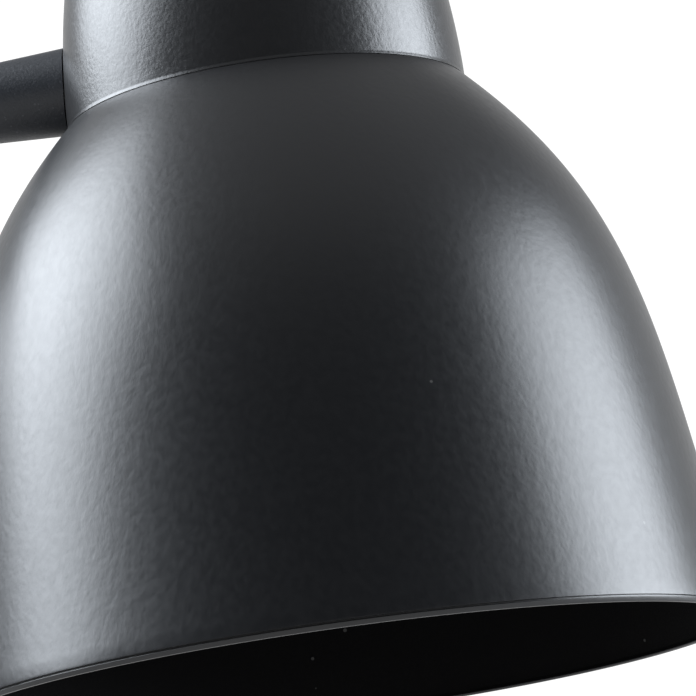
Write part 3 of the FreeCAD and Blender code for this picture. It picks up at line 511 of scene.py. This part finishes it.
KNOB_GRIPS = 14
KNOB_T = 12.0
KNOB_CHAMFER = 1.2
KNOB_DISH_R = 5.5
KNOB_DISH_DEPTH = 0.6
KNOB_BORE_R = 3.0
KNOB_BORE_START = 4.0
knob_low, knob_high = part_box("clamp_knob")
knob_r = size_of("clamp_knob")[0]
knob_level = (knob_low.z + knob_high.z) / 2 / MM
knob_end = knob_low.x / MM
knob_inner = knob_end + KNOB_T
knob_outline = rounded([
    (0, knob_end + KNOB_DISH_DEPTH, 0),
    (KNOB_DISH_R, knob_end + KNOB_DISH_DEPTH, 0.3),
    (KNOB_DISH_R + 0.7, knob_end, 0.3),
    (knob_r - KNOB_CHAMFER, knob_end, 0.5),
    (knob_r, knob_end + KNOB_CHAMFER, 0.5),
    (knob_r, knob_inner - KNOB_CHAMFER, 0.5),
    (knob_r - KNOB_CHAMFER, knob_inner, 0.5),
    (KNOB_DISH_R, knob_inner, 0.4),
    (KNOB_DISH_R, knob_high.x / MM, 0.3),
    (KNOB_BORE_R, knob_high.x / MM, 0),
    (KNOB_BORE_R, knob_end + KNOB_BORE_START, 0),
    (0, knob_end + KNOB_BORE_START, 0),
], closed=False)
fit(spin("knob_milled", knob_outline, lying(knob_level), KNOB_GRIPS * 24, closed=False,
         shape=scalloped(knob_r, KNOB_GRIPS, cutter_r=1.3, cutter_out=0.5)),
    "clamp", "fine_black", rubbed_black(), "clamp_knob")
dress(ZINC, "clamp_screw")


# ---- arc tube ----
# One length of 16 mm steel tube bent on a former: an upright shank, a quarter circle of 400 mm
# and a short level end. A stop screw in the shank, inside the collar, ends the swivel's travel.

arm_low, arm_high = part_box("arc_tube")
arm_r = shank_r
arm_level = arm_high.z / MM - arm_r
arm_end = arm_high.x / MM
arm_bottom = arm_low.z / MM
ARC_R = 400.0
shank_top = arm_level - ARC_R
ARM_WALL = 1.2
ARM_STEPS = 96


def along_arm(h):
    """Axis that follows the arm's tube, h mm from its lower end."""
    straight = shank_top - arm_bottom
    bent = ARC_R * math.pi / 2
    if h <= straight:
        return Vector((0, 0, arm_bottom + h)), Vector((1, 0, 0)), Vector((0, 1, 0))
    angle = min(h - straight, bent) / ARC_R
    past = max(0.0, h - straight - bent)
    x = ARC_R - ARC_R * math.cos(angle) + past
    z = shank_top + ARC_R * math.sin(angle)
    return Vector((x, 0, z)), Vector((math.cos(angle), 0, -math.sin(angle))), Vector((0, 1, 0))


arm_length = shank_top - arm_bottom + ARC_R * math.pi / 2 + arm_end - ARC_R
arm_steps = [arm_length * k / ARM_STEPS for k in range(1, ARM_STEPS)]
arm_outline = rounded([
    (arm_r - ARM_WALL, 0, 0),
    (arm_r, 0, 0.3),
    (arm_r, 2, 0),
], closed=False)
arm_outline += [Vector((arm_r, h)) for h in arm_steps]
arm_outline += rounded([
    (arm_r, arm_length - 2, 0),
    (arm_r, arm_length, 0.3),
    (arm_r - ARM_WALL, arm_length, 0),
], closed=False)
arm_outline += [Vector((arm_r - ARM_WALL, h)) for h in reversed(arm_steps)]
fit(spin("arm_bent_tube", arm_outline, along_arm, 64), "arm", "fine_black", SANDY_BLACK, "arc_tube")
dress(ZINC, "arc_stop_screw")


# ---- tip spindle ----
# A hollow spindle pressed in the arm's end, with a flange that the head turns against. A thin
# nylon washer, a wave spring, a nut and a tab washer hold the head on it with some friction.

SPINDLE_R = 5.0
SPINDLE_BORE_R = 3.5
SPINDLE_FLANGE_T = 1.5
spindle_low, spindle_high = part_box("tip_spindle")
plug_r = arm_r - ARM_WALL - FIT_GAP
spindle_outline = rounded([
    (SPINDLE_BORE_R, spindle_low.x / MM, 0.2),
    (plug_r, spindle_low.x / MM, 0.4),
    (plug_r, arm_end, 0),
    (arm_r, arm_end, 0.2),
    (arm_r, arm_end + SPINDLE_FLANGE_T, 0.3),
    (SPINDLE_R, arm_end + SPINDLE_FLANGE_T, 0),
    (SPINDLE_R, spindle_high.x / MM, 0.3),
    (SPINDLE_BORE_R, spindle_high.x / MM, 0.3),
])
fit(spin("spindle_turned", spindle_outline, lying(arm_level), 96), "arm", "steel", ZINC,
    "tip_spindle")
dress(NYLON, "tip_washer")
dress(ZINC, "wave_washer", "tip_nut", "tab_washer")


# ---- side stub ----
# A short taper turned from steel bar, coped to sit flush on the neck's barrel. The spindle turns
# in its end wall, and a grub screw from below stops the tab washer. Sandy black.

stub_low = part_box("side_stub")[0]
neck_low_corner, neck_high_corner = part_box("neck_cup")
HEAD_X = (neck_low_corner.x + neck_high_corner.x) / 2 / MM
SHADE_TOP = size_of("shade")[2]
SEAM_R = 45.0
NECK_BARREL_R = 165.0
STUB_R = 9.88
STUB_R_X = 497.0
STUB_TAPER = 0.054
STUB_END_WALL = 5.0
STUB_HOLLOW_R = 7.0
STUB_BORE_R = 5.05
COPING_CUTS = 10
COPING_GAP = 0.1


def neck_radius(z, inset=0.0):
    """Radius of the neck's barrel at a level, less a depth into it."""
    return SEAM_R - NECK_BARREL_R + math.sqrt((NECK_BARREL_R - inset) ** 2 - (z - SHADE_TOP) ** 2)


def coped_stub():
    """Turned taper, with its broad end drawn out to lie on the barrel."""
    face = stub_low.x / MM
    face_r = STUB_R + STUB_TAPER * (face - STUB_R_X)
    corners = rounded([
        (STUB_BORE_R, face, 0.3),
        (face_r, face, 0.6),
        (STUB_R - 0.02, STUB_R_X - 0.4, 0),
        (STUB_R, STUB_R_X, 0),
        (STUB_HOLLOW_R, STUB_R_X, 0),
        (STUB_HOLLOW_R, face + STUB_END_WALL, 0),
        (STUB_BORE_R, face + STUB_END_WALL, 0),
    ])
    outline = []
    for here, ahead in zip(corners, corners[1:] + corners[:1]):
        cuts = COPING_CUTS if (ahead - here).length > STUB_END_WALL else 1
        outline += [here.lerp(ahead, k / cuts) for k in range(cuts)]
    stub = spin("stub_coped", outline, lying(arm_level), 128)
    start = face + STUB_END_WALL
    for vertex in stub.data.vertices:
        x, y, z = vertex.co / MM
        wall = HEAD_X - math.sqrt(neck_radius(z) ** 2 - y ** 2)
        share = max(0.0, (x - start) / (STUB_R_X - start))
        vertex.co.x += (wall - COPING_GAP - STUB_R_X) * share * MM
    return stub


fit(coped_stub(), "head", "fine_black", SANDY_BLACK, "side_stub")

grub_low, grub_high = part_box("stub_stop_screw")
grub_x = (grub_low.x + grub_high.x) / 2 / MM
grub_r, grub_end, grub_tip = size_of("stub_stop_screw")
HEX_R = 0.65
HEX_DEPTH = 1.0


def hexagonal(r, h, angle):
    """Shape of a hexagon socket inside a round screw."""
    if r > HEX_R:
        return r
    flat = (angle + math.pi / 6) % (math.pi / 3) - math.pi / 6
    return r * math.cos(math.pi / 6) / math.cos(flat)


grub_outline = rounded([
    (0, grub_end + HEX_DEPTH, 0),
    (HEX_R, grub_end + HEX_DEPTH, 0),
    (HEX_R, grub_end + 0.1, 0),
    (grub_r - 0.2, grub_end, 0),
    (grub_r, grub_end + 0.25, 0.1),
    (grub_r, grub_tip - 0.3, 0.1),
    (grub_r - 0.4, grub_tip, 0),
    (0, grub_tip, 0),
], closed=False)
fit(spin("grub_screw", grub_outline, upright(grub_x), 48, closed=False, shape=hexagonal),
    "head", "steel", ZINC, "stub_stop_screw")
dress(ZINC, "stub_insert", "side_nipple", "saddle_washer")


# ---- neck ----
# A cup spun from 0.9 mm steel. Its foot sweeps out a little and stands on the bell with a
# hairline joint, and the bracket inside pulls it against the stub. Coarse satin black coat.

NECK_WALL = 0.9
FLARE = 0.2
FLARE_H = 1.4
SHOULDER_R = 16.0
CROWN_HOLE_R = 5.05
HAIRLINE = 0.12
BARREL_STEPS = 32
SHOULDER_STEPS = 16
NECK_TOP = neck_high_corner.z / MM


def neck_wall(inset, start):
    """Meridian of one side of the sheet: the barrel, then a round shoulder into the flat crown."""
    turn = SHOULDER_R - inset
    ball_z = NECK_TOP - SHOULDER_R
    ball_r = neck_radius(ball_z, SHOULDER_R)
    lean = math.atan2(ball_z - SHADE_TOP, ball_r - SEAM_R + NECK_BARREL_R)
    touch = ball_z + turn * math.sin(lean)
    points = []
    for k in range(BARREL_STEPS):
        z = start + (touch - start) * k / BARREL_STEPS
        points.append(Vector((neck_radius(z, inset), z)))
    for k in range(SHOULDER_STEPS + 1):
        angle = lean + (math.pi / 2 - lean) * k / SHOULDER_STEPS
        points.append(Vector((ball_r + turn * math.cos(angle), ball_z + turn * math.sin(angle))))
    return points


def neck_outline():
    foot_r = neck_radius(SHADE_TOP)
    start = SHADE_TOP + HAIRLINE
    foot = rounded([
        (foot_r - NECK_WALL, start + 0.2, 0),
        (foot_r - NECK_WALL, start, 0.1),
        (foot_r, start, 0.03),
        (foot_r - FLARE, start + FLARE_H / 2, 1.5),
        (foot_r - FLARE, start + FLARE_H, 0),
    ], closed=False)
    hole = rounded([
        (CROWN_HOLE_R + 1, NECK_TOP, 0),
        (CROWN_HOLE_R, NECK_TOP, 0.15),
        (CROWN_HOLE_R, NECK_TOP - NECK_WALL, 0.1),
        (CROWN_HOLE_R + 1, NECK_TOP - NECK_WALL, 0),
    ], closed=False)
    outer = neck_wall(FLARE, start + FLARE_H + 0.2)
    inner = neck_wall(NECK_WALL, start + 0.4)
    return foot + outer + hole + inner[::-1]


def coarse_black():
    material, tree, shader = finish("satin_black_coarse", specular_ior_level=0.5)
    grain = place(tree, GRAIN, peel_size=1.0, peel_depth=0.045, grit_size=0.45, grit_depth=0.018,
                  stretch=1.2)
    specks = place(tree, SPECKS, spacing=6.0, speck_size=0.4, share=0.3)
    colour(tree, shader, (0.012, 0.0124, 0.0135), (0.2, 0.2, 0.2), specks["Mask"])
    roughness(tree, shader, 0.28, 0.33, grain["Peel"])
    bump(tree, shader, grain["Height"])
    return material


fit(spin("neck_barrel", neck_outline(), upright(HEAD_X), 256), "head", "satin_black",
    coarse_black(), "neck_cup")
dress(ZINC, "holder_bracket", "lock_washer", "bracket_nuts", "top_nipple")
dress(MOULDED_BLACK, "dome_washer")


# ---- shade ----
# A bell spun from 0.9 mm steel. Its flat top takes the lampholder, and its rim is rolled into a
# small lip under a crisp groove. Satin black powder coat outside, and inside a dead matt coat
# painted darker than the outside coat as painted shade.

BELL_WALL = 0.9
TOP_ANGLE = math.radians(44.5)
TOP_PULL = 47.8
RIM_ANGLE = math.radians(8.0)
RIM_PULL = 67.7
LIP_H = 1.0
LIP_LEAN = 0.4
GROOVE_H = 0.5
GROOVE_DEPTH = 0.6
SHADE_HOLE_R = 20.3
FINE_STEPS = 600
BELL_STEPS = 64
RIM_R, RIM_Z = size_of("shade")[:2]


def bell(t, inset):
    """Point of the bell's curved side, from 0 at the seam to 1 at the rim, less a depth into it."""
    top = Vector((SEAM_R, SHADE_TOP))
    rim = Vector((RIM_R, RIM_Z))
    pulls = [top, top + TOP_PULL * Vector((math.sin(TOP_ANGLE), -math.cos(TOP_ANGLE))),
             rim + RIM_PULL * Vector((-math.sin(RIM_ANGLE), math.cos(RIM_ANGLE))), rim]
    s = 1 - t
    first, second, third = (ahead - here for here, ahead in zip(pulls, pulls[1:]))
    spot = s ** 3 * pulls[0] + 3 * s * s * t * pulls[1] + 3 * s * t * t * pulls[2] + t ** 3 * pulls[3]
    run = s * s * first + 2 * s * t * second + t * t * third
    return spot + inset * Vector((run.y, -run.x)).normalized()


def meridian(inset, high, low):
    """The bell's side between two levels, in even steps."""
    fine = [bell(k / FINE_STEPS, inset) for k in range(FINE_STEPS + 1)]
    between = [point for point in fine if low < point.y < high]
    last = len(between) - 1
    return [between[round(k * last / BELL_STEPS)] for k in range(BELL_STEPS + 1)]


def shade_outline():
    groove_top = RIM_Z + LIP_H + GROOVE_H
    outer = meridian(0.0, SHADE_TOP - 0.02, groove_top + 0.2)
    inner = meridian(BELL_WALL, SHADE_TOP - BELL_WALL - 0.4, RIM_Z + LIP_H + 0.3)
    wall_r = outer[-1].x
    inside_r = inner[-1].x
    rim = rounded([
        (wall_r, groove_top + 0.1, 0),
        (wall_r, groove_top, 0.03),
        (wall_r - GROOVE_DEPTH, groove_top, 0.08),
        (wall_r - GROOVE_DEPTH, RIM_Z + LIP_H, 0.08),
        (RIM_R - 0.03, RIM_Z + LIP_H, 0.06),
        (RIM_R - LIP_LEAN, RIM_Z, 0.25),
        (inside_r - 0.35, RIM_Z, 0.45),
        (inside_r - 0.1, RIM_Z + LIP_H, 0.2),
        (inside_r, RIM_Z + LIP_H + 0.25, 0),
    ], closed=False)
    top = rounded([
        (SHADE_HOLE_R + 1, SHADE_TOP - BELL_WALL, 0),
        (SHADE_HOLE_R, SHADE_TOP - BELL_WALL, 0.1),
        (SHADE_HOLE_R, SHADE_TOP, 0.15),
        (SEAM_R - 0.02, SHADE_TOP, 0),
    ], closed=False)
    return top + outer + rim + inner[::-1]


def smooth_black():
    material, tree, shader = finish("satin_black_smooth", specular_ior_level=0.5)
    grain = place(tree, GRAIN, peel_size=1.6, peel_depth=0.031, grit_size=0.7, grit_depth=0.007,
                  stretch=1.2)
    specks = place(tree, SPECKS, spacing=9.0, speck_size=0.45, share=0.3)
    colour(tree, shader, (0.006, 0.0066, 0.008), (0.05, 0.05, 0.05), specks["Mask"])
    roughness(tree, shader, 0.31, 0.35, grain["Peel"])
    bump(tree, shader, grain["Height"])
    return material


def matt_inside_painted_shade():
    """Dead matt coat inside the bell, painted darker than the outside as painted shade, with a little
    dust.
    """
    material, tree, shader = finish("matt_black_inside_painted_shade", specular_ior_level=0.05)
    grain = place(tree, GRAIN, peel_size=1.5, peel_depth=0.02, grit_size=0.3, grit_depth=0.02)
    specks = place(tree, SPECKS, spacing=4.0, speck_size=0.45, share=0.35)
    # Painted shade: the inside's colour is set darker than the outside coat to stand in for the shade
    # inside the bell.
    colour(tree, shader, (0.0022, 0.0022, 0.0024), (0.04, 0.04, 0.04), specks["Mask"])
    roughness(tree, shader, 0.6, 0.9, grain["Grit"])
    bump(tree, shader, grain["Height"])
    return material


shade = fit(spin("bell_spun", shade_outline(), upright(HEAD_X), 256), "head", "satin_black",
            smooth_black(), "shade")
shade.data.materials.append(matt_inside_painted_shade())
# The inside faces take the second material, the darker coat of painted shade.
for face in shade.data.polygons:
    middle = face.center / MM - Vector((HEAD_X, 0, 0))
    inward = face.normal.x * middle.x + face.normal.y * middle.y < 0
    ceiling = face.normal.z < -0.5 and middle.z > RIM_Z + 10
    if RIM_Z + 0.6 < middle.z < SHADE_TOP - 0.3 and (inward or ceiling):
        face.material_index = 1


# ---- lampholder ----
# A moulded holder hung from the bracket by a hollow nipple. Its skirt is threaded outside for the
# shade ring that clamps the bell, and holds a nylon core with the brass contacts.

def brass():
    material, tree, shader = finish("bare_brass", metallic=1.0)
    grain = place(tree, GRAIN, peel_size=2.5, peel_depth=0.004, grit_size=0.3, grit_depth=0.003)
    colour(tree, shader, (0.78, 0.6, 0.3), (0.6, 0.43, 0.2), grain["Peel"])
    roughness(tree, shader, 0.25, 0.45, grain["Grit"])
    bump(tree, shader, grain["Height"])
    return material


def threaded(root_r, crest_r, pitch):
    """Shape of a rounded screw thread on every point that lies at the crest."""
    def shape(r, h, angle):
        if abs(r - crest_r) > 0.01:
            return r
        wave = math.cos(2 * math.pi * (h / pitch - angle / (2 * math.pi)))
        return root_r + (crest_r - root_r) * (0.5 + 0.5 * wave)

    return shape


SKIRT_R = 19.5
SKIRT_BORE_R = 17.0
SHOULDER_T = 3.0
THREAD_PITCH = 2.8
THREAD_DEPTH = 0.7
THREAD_STEP = 0.4
THREAD_STEPS = 60
skirt_shoulder_r, skirt_low = size_of("holder_skirt")[:2]
skirt_outline = rounded([
    (SKIRT_BORE_R, skirt_low + 1, 0),
    (SKIRT_BORE_R, skirt_low, 0.6),
    (SKIRT_R - 0.3, skirt_low, 0.6),
    (SKIRT_R - 0.3, skirt_low + 1, 0),
], closed=False)
thread_start = skirt_low + 1.2
skirt_outline += [Vector((SKIRT_R, thread_start + THREAD_STEP * k)) for k in range(THREAD_STEPS)]
skirt_outline += rounded([
    (SKIRT_R - 0.1, SHADE_TOP - 4, 0),
    (SKIRT_R - 0.1, SHADE_TOP, 0.2),
    (skirt_shoulder_r, SHADE_TOP, 0.3),
    (skirt_shoulder_r, SHADE_TOP + SHOULDER_T, 0.4),
    (SKIRT_BORE_R, SHADE_TOP + SHOULDER_T, 0),
], closed=False)
fit(spin("skirt_threaded", skirt_outline, upright(HEAD_X), 128,
         shape=threaded(SKIRT_R - THREAD_DEPTH, SKIRT_R, THREAD_PITCH)),
    "head", "black_plastic", MOULDED_BLACK, "holder_skirt")
BRASS = brass()
dress(MOULDED_BLACK, "holder_dome")
dress(NYLON, "holder_core")
dress(ZINC, "terminal_screws")
dress(BRASS, "screw_shell", "centre_contact")


# ---- shade ring ----
# A moulded nut with notches for the fingers, screwed up the skirt against the bell's flat top.

RING_NOTCHES = 12
RING_CHAMFER = 0.9
TRACK_IN_R = 22.5
TRACK_OUT_R = 26.0
TRACK_DEPTH = 0.6
TRACK_SLOPE = 0.5
ring_r, ring_low, ring_high = size_of("shade_ring")
notched_outline = rounded([
    (SKIRT_R + FIT_GAP, ring_low, 0.3),
    (TRACK_IN_R - TRACK_SLOPE, ring_low, 0.3),
    (TRACK_IN_R, ring_low + TRACK_DEPTH, 0.2),
    (TRACK_OUT_R, ring_low + TRACK_DEPTH, 0.2),
    (TRACK_OUT_R + TRACK_SLOPE, ring_low, 0.3),
    (ring_r - RING_CHAMFER, ring_low, 0.3),
    (ring_r, ring_low + RING_CHAMFER, 0.4),
    (ring_r, ring_high, 0.2),
    (SKIRT_R + FIT_GAP, ring_high, 0.2),
])
fit(spin("ring_notched", notched_outline, upright(HEAD_X), RING_NOTCHES * 24,
         shape=scalloped(ring_r, RING_NOTCHES, cutter_r=2.0, cutter_out=0.8)),
    "head", "black_plastic", MOULDED_BLACK, "shade_ring")


# ---- bulb ----
# A 60 mm globe of opal glass cemented to a white collar, with a rolled nickel-plated cap and a
# brass contact under it.

def opal_glass():
    material, tree, shader = finish("opal_glass", coat_roughness=0.08, specular_ior_level=0.5)
    grain = place(tree, GRAIN, peel_size=9.0, peel_depth=0.05, grit_size=1.5, grit_depth=0.002)
    colour(tree, shader, (0.88, 0.88, 0.86), (0.94, 0.94, 0.92), grain["Peel"])
    roughness(tree, shader, 0.16, 0.24, grain["Grit"])
    bump(tree, shader, grain["Height"])
    return material


def gloss_white():
    material, tree, shader = finish("gloss_white_plastic", specular_ior_level=0.5)
    grain = place(tree, GRAIN, peel_size=2.0, peel_depth=0.006, grit_size=0.4, grit_depth=0.003)
    colour(tree, shader, (0.8, 0.8, 0.79), (0.87, 0.87, 0.86), grain["Peel"])
    roughness(tree, shader, 0.24, 0.34, grain["Grit"])
    bump(tree, shader, grain["Height"])
    return material


def nickel_plate():
    material, tree, shader = finish("nickel_plate", metallic=1.0)
    grain = place(tree, GRAIN, peel_size=2.0, peel_depth=0.005, grit_size=0.3, grit_depth=0.002)
    colour(tree, shader, (0.66, 0.64, 0.6), (0.74, 0.73, 0.7), grain["Peel"])
    roughness(tree, shader, 0.18, 0.32, grain["Grit"])
    bump(tree, shader, grain["Height"])
    return material


globe_r, globe_low, globe_high = size_of("bulb_globe")
globe_neck_r = size_of("bulb_collar")[0]
globe_centre = globe_low + globe_r
BULB_WAIST = math.radians(14)
BULB_PULL = 9.0
GLOBE_STEPS = 40
WAIST_STEPS = 16
globe_outline = []
for k in range(GLOBE_STEPS + 1):
    angle = -math.pi / 2 + (math.pi / 2 + BULB_WAIST) * k / GLOBE_STEPS
    spot = globe_r * Vector((math.cos(angle), math.sin(angle)))
    globe_outline.append(spot + Vector((0, globe_centre)))
leave = globe_outline[-1]
pull = leave + BULB_PULL * Vector((-math.sin(BULB_WAIST), math.cos(BULB_WAIST)))
neck_end = Vector((globe_neck_r - 0.25, globe_high))
for k in range(1, WAIST_STEPS + 1):
    t = k / WAIST_STEPS
    globe_outline.append((1 - t) ** 2 * leave + 2 * t * (1 - t) * pull + t * t * neck_end)
globe_outline.append(Vector((0, globe_high)))
fit(spin("globe_blown", globe_outline, upright(HEAD_X), 128, closed=False), "head", "opal",
    opal_glass(), "bulb_globe")

BULB_COLLAR_WAIST_R = 14.4
BULB_COLLAR_TOP_R = 13.6
collar_top = size_of("bulb_collar")[2]
bulb_collar_outline = rounded([
    (0, globe_high + FIT_GAP, 0),
    (globe_neck_r, globe_high + FIT_GAP, 0.4),
    (globe_neck_r - 2.0, globe_high + 4, 3),
    (BULB_COLLAR_WAIST_R, globe_high + 17, 4),
    (BULB_COLLAR_TOP_R, collar_top, 0.3),
    (0, collar_top, 0),
], closed=False)
fit(spin("bulb_collar_moulded", bulb_collar_outline, upright(HEAD_X), 128, closed=False), "head",
    "bulb_white", gloss_white(), "bulb_collar")

CAP_ROOT = 0.6
CAP_PITCH = 3.63
CAP_STEPS = 49
cap_r, cap_low, cap_high = size_of("bulb_cap")
cap_outline = [Vector((0, cap_low)), Vector((cap_r - CAP_ROOT, cap_low))]
cap_outline += [Vector((cap_r, cap_low + 0.2 + THREAD_STEP * k)) for k in range(CAP_STEPS)]
cap_outline += rounded([
    (cap_r - CAP_ROOT, cap_high - 2, 0),
    (cap_r - 3, cap_high, 0.5),
    (0, cap_high, 0),
], closed=False)
fit(spin("cap_rolled", cap_outline, upright(HEAD_X), 96, closed=False,
         shape=threaded(cap_r - CAP_ROOT, cap_r, CAP_PITCH)),
    "head", "bulb_nickel", nickel_plate(), "bulb_cap")
dress(BRASS, "bulb_contact")


# ---- switch and dial ----
# A rotary switch held in the crown of the neck by its nut. The fluted dial pushed on its spindle
# is moulded, with a fine white line for its place.

def turned_steel():
    material, tree, shader = finish("turned_steel", metallic=1.0)
    grain = place(tree, GRAIN, peel_size=1.0, peel_depth=0.002, grit_size=0.15, grit_depth=0.003,
                  stretch=0.3)
    colour(tree, shader, (0.55, 0.55, 0.55), (0.65, 0.65, 0.64), grain["Peel"])
    roughness(tree, shader, 0.25, 0.4, grain["Grit"])
    bump(tree, shader, grain["Height"])
    return material


def dial_black():
    """Moulded black, with a white line on top that runs out from LINE_START to the edge."""
    material, tree, shader = finish("dial_black", specular_ior_level=0.45)
    grain = place(tree, GRAIN, peel_size=0.8, peel_depth=0.012, grit_size=0.25, grit_depth=0.01)
    spot = put(tree, "ShaderNodeTexCoord").outputs["Object"]
    spot = put(tree, "ShaderNodeSeparateXYZ", {0: spot}).outputs
    across = maths(tree, "LESS_THAN", maths(tree, "ABSOLUTE", spot["Y"]), LINE_W / 2 * MM)
    from_axis = maths(tree, "SUBTRACT", HEAD_X * MM, spot["X"])
    reach = maths(tree, "GREATER_THAN", from_axis, LINE_START * MM)
    on_top = maths(tree, "GREATER_THAN", spot["Z"], (dial_high - 0.2) * MM)
    line = maths(tree, "MULTIPLY", maths(tree, "MULTIPLY", across, reach), on_top)
    colour(tree, shader, (0.02, 0.02, 0.021), (0.7, 0.7, 0.68), line)
    roughness(tree, shader, 0.36, 0.5, grain["Grit"])
    bump(tree, shader, grain["Height"])
    return material


DIAL_FLUTES = 20
DIAL_BORE_R = 8.6
DIAL_BORE_DEPTH = 5.0
LINE_W = 0.8
LINE_START = 3.5
dial_r, dial_low, dial_high = size_of("switch_dial")
dial_outline = rounded([
    (DIAL_BORE_R, dial_low, 0.1),
    (dial_r, dial_low, 0.5),
    (dial_r - 0.8, dial_high - 1.5, 0.6),
    (dial_r - 2.3, dial_high, 0.5),
    (5.0, dial_high - 0.02, 0),
    (0, dial_high - 0.02, 0),
], closed=False)
dial_outline += [
    Vector((0, dial_low + DIAL_BORE_DEPTH)),
    Vector((DIAL_BORE_R, dial_low + DIAL_BORE_DEPTH)),
]
fit(spin("dial_fluted", dial_outline, upright(HEAD_X), DIAL_FLUTES * 16,
         shape=scalloped(dial_r, DIAL_FLUTES, cutter_r=0.9, cutter_out=0.5)),
    "dial", "black_plastic", dial_black(), "switch_dial")
dress(turned_steel(), "switch_spindle")
dress(MOULDED_BLACK, "switch_body")
dress(NYLON, "switch_washer")
dress(ZINC, "switch_nut")


# ---- lead ----
# A round two-core lead in a black PVC sheath. The tubes hold it all the way from the gland to
# the switch and the lampholder.

def sheath():
    material, tree, shader = finish("pvc_sheath", specular_ior_level=0.4)
    grain = place(tree, GRAIN, peel_size=1.8, peel_depth=0.02, grit_size=0.3, grit_depth=0.008,
                  stretch=3.0)
    colour(tree, shader, (0.03, 0.03, 0.03), (0.045, 0.045, 0.045), grain["Peel"])
    roughness(tree, shader, 0.42, 0.58, grain["Grit"])
    bump(tree, shader, grain["Height"])
    return material


dress(sheath(), "lead_pole", "lead_arm", "lead_head", "lead_holder")


# ---- camera, floor and light ----
# A plain pale floor, and two soft lights at the sides of the head in a white room that is dark in
# front, so that the black bell shows only its two side reflections.

VIEW_AZIMUTH = math.radians(6.37)
VIEW_ELEVATION = math.radians(10.49)
VIEW_ROLL = math.radians(-7.94)
LENS = 221.4
CAMERA_FROM_SEAM = Vector((0.1139, -0.9255, -0.2288))

seam = Vector((HEAD_X, 0, SHADE_TOP)) * MM
camera_data = bpy.data.cameras.new("camera")
camera_data.lens = LENS
camera_data.sensor_width = 36.0
camera_data.clip_start = 0.01
camera = bpy.data.objects.new("camera", camera_data)
aim = Matrix.Rotation(VIEW_AZIMUTH, 4, "Z") @ Matrix.Rotation(math.pi / 2 + VIEW_ELEVATION, 4, "X")
roll = Matrix.Rotation(VIEW_ROLL, 4, "Z")
camera.matrix_world = Matrix.Translation(seam + CAMERA_FROM_SEAM) @ aim @ roll
bpy.context.scene.collection.objects.link(camera)
bpy.context.scene.camera = camera

FLOOR_REACH = 40.0
floor_corners = [(x * FLOOR_REACH, y * FLOOR_REACH, 0) for x, y in ((-1, -1), (1, -1), (1, 1), (-1, 1))]
floor_mesh = bpy.data.meshes.new("floor")
floor_mesh.from_pydata(floor_corners, [], [(0, 1, 2, 3)])
floor = bpy.data.objects.new("floor", floor_mesh)
bpy.context.scene.collection.objects.link(floor)
pale = finish("pale_floor", base_color=(0.6, 0.6, 0.6, 1), roughness=0.9,
              emission_color=(1.0, 1.0, 1.0, 1.0), emission_strength=0.65)[0]
floor_mesh.materials.append(pale)

LIGHT_DISTANCE = 1.3
GRID_ANGLE = math.radians(40)
GRID_SHARE = 1 - GRID_ANGLE / math.tan(GRID_ANGLE)


def soft_light(name, bearing, rise, width, height, radiance, tilt=0.0):
    """Soft light with a grid, facing the head from a bearing off the camera and a rise."""
    light = bpy.data.lights.new(name, "AREA")
    light.shape = "RECTANGLE"
    light.size = width
    light.size_y = height
    light.spread = 2 * GRID_ANGLE
    light.energy = radiance * math.pi * width * height * GRID_SHARE
    light.color = (0.87, 0.93, 1.0)
    turn = math.radians(bearing) + VIEW_AZIMUTH
    rise = math.radians(rise)
    away = Vector((math.sin(turn) * math.cos(rise), -math.cos(turn) * math.cos(rise), math.sin(rise)))
    lamp = bpy.data.objects.new(name, light)
    lamp.location = seam + away * LIGHT_DISTANCE
    turned = away.to_track_quat("Z", "Y").to_matrix() @ Matrix.Rotation(math.radians(tilt), 3, "Z")
    lamp.rotation_euler = turned.to_euler()
    lamp.visible_camera = False
    bpy.context.scene.collection.objects.link(lamp)


soft_light("left_light", bearing=-94, rise=34, width=1.4, height=1.12, radiance=19.0, tilt=-25)
soft_light("right_light", bearing=93, rise=8, width=1.05, height=1.1, radiance=17.5)

ROOM_WHITE = 1.1
world = bpy.data.worlds.new("white_room")
world.use_nodes = True
bpy.context.scene.world = world
room = world.node_tree
background = room.nodes["Background"]
background.inputs["Color"].default_value = (1.0, 1.0, 1.0, 1.0)
look = put(room, "ShaderNodeTexCoord").outputs["Generated"]
look = put(room, "ShaderNodeVectorRotate", {"Vector": look, "Angle": -VIEW_AZIMUTH},
           rotation_type="Z_AXIS")
look = put(room, "ShaderNodeSeparateXYZ", {"Vector": look.outputs[0]}).outputs
behind = ramp(room, look["Y"], 0.3, 0.95, 0.02, 0.8)
above = ramp(room, look["Z"], 0.45, 0.85, 0.0, 0.5)
lit = maths(room, "MAXIMUM", behind, above)
seen = put(room, "ShaderNodeLightPath").outputs["Is Camera Ray"]
strength = put(room, "ShaderNodeMix", {0: seen, 2: lit, 3: ROOM_WHITE})
room.links.new(strength.outputs[0], background.inputs["Strength"])

bpy.context.scene.view_settings.view_transform = "Standard"
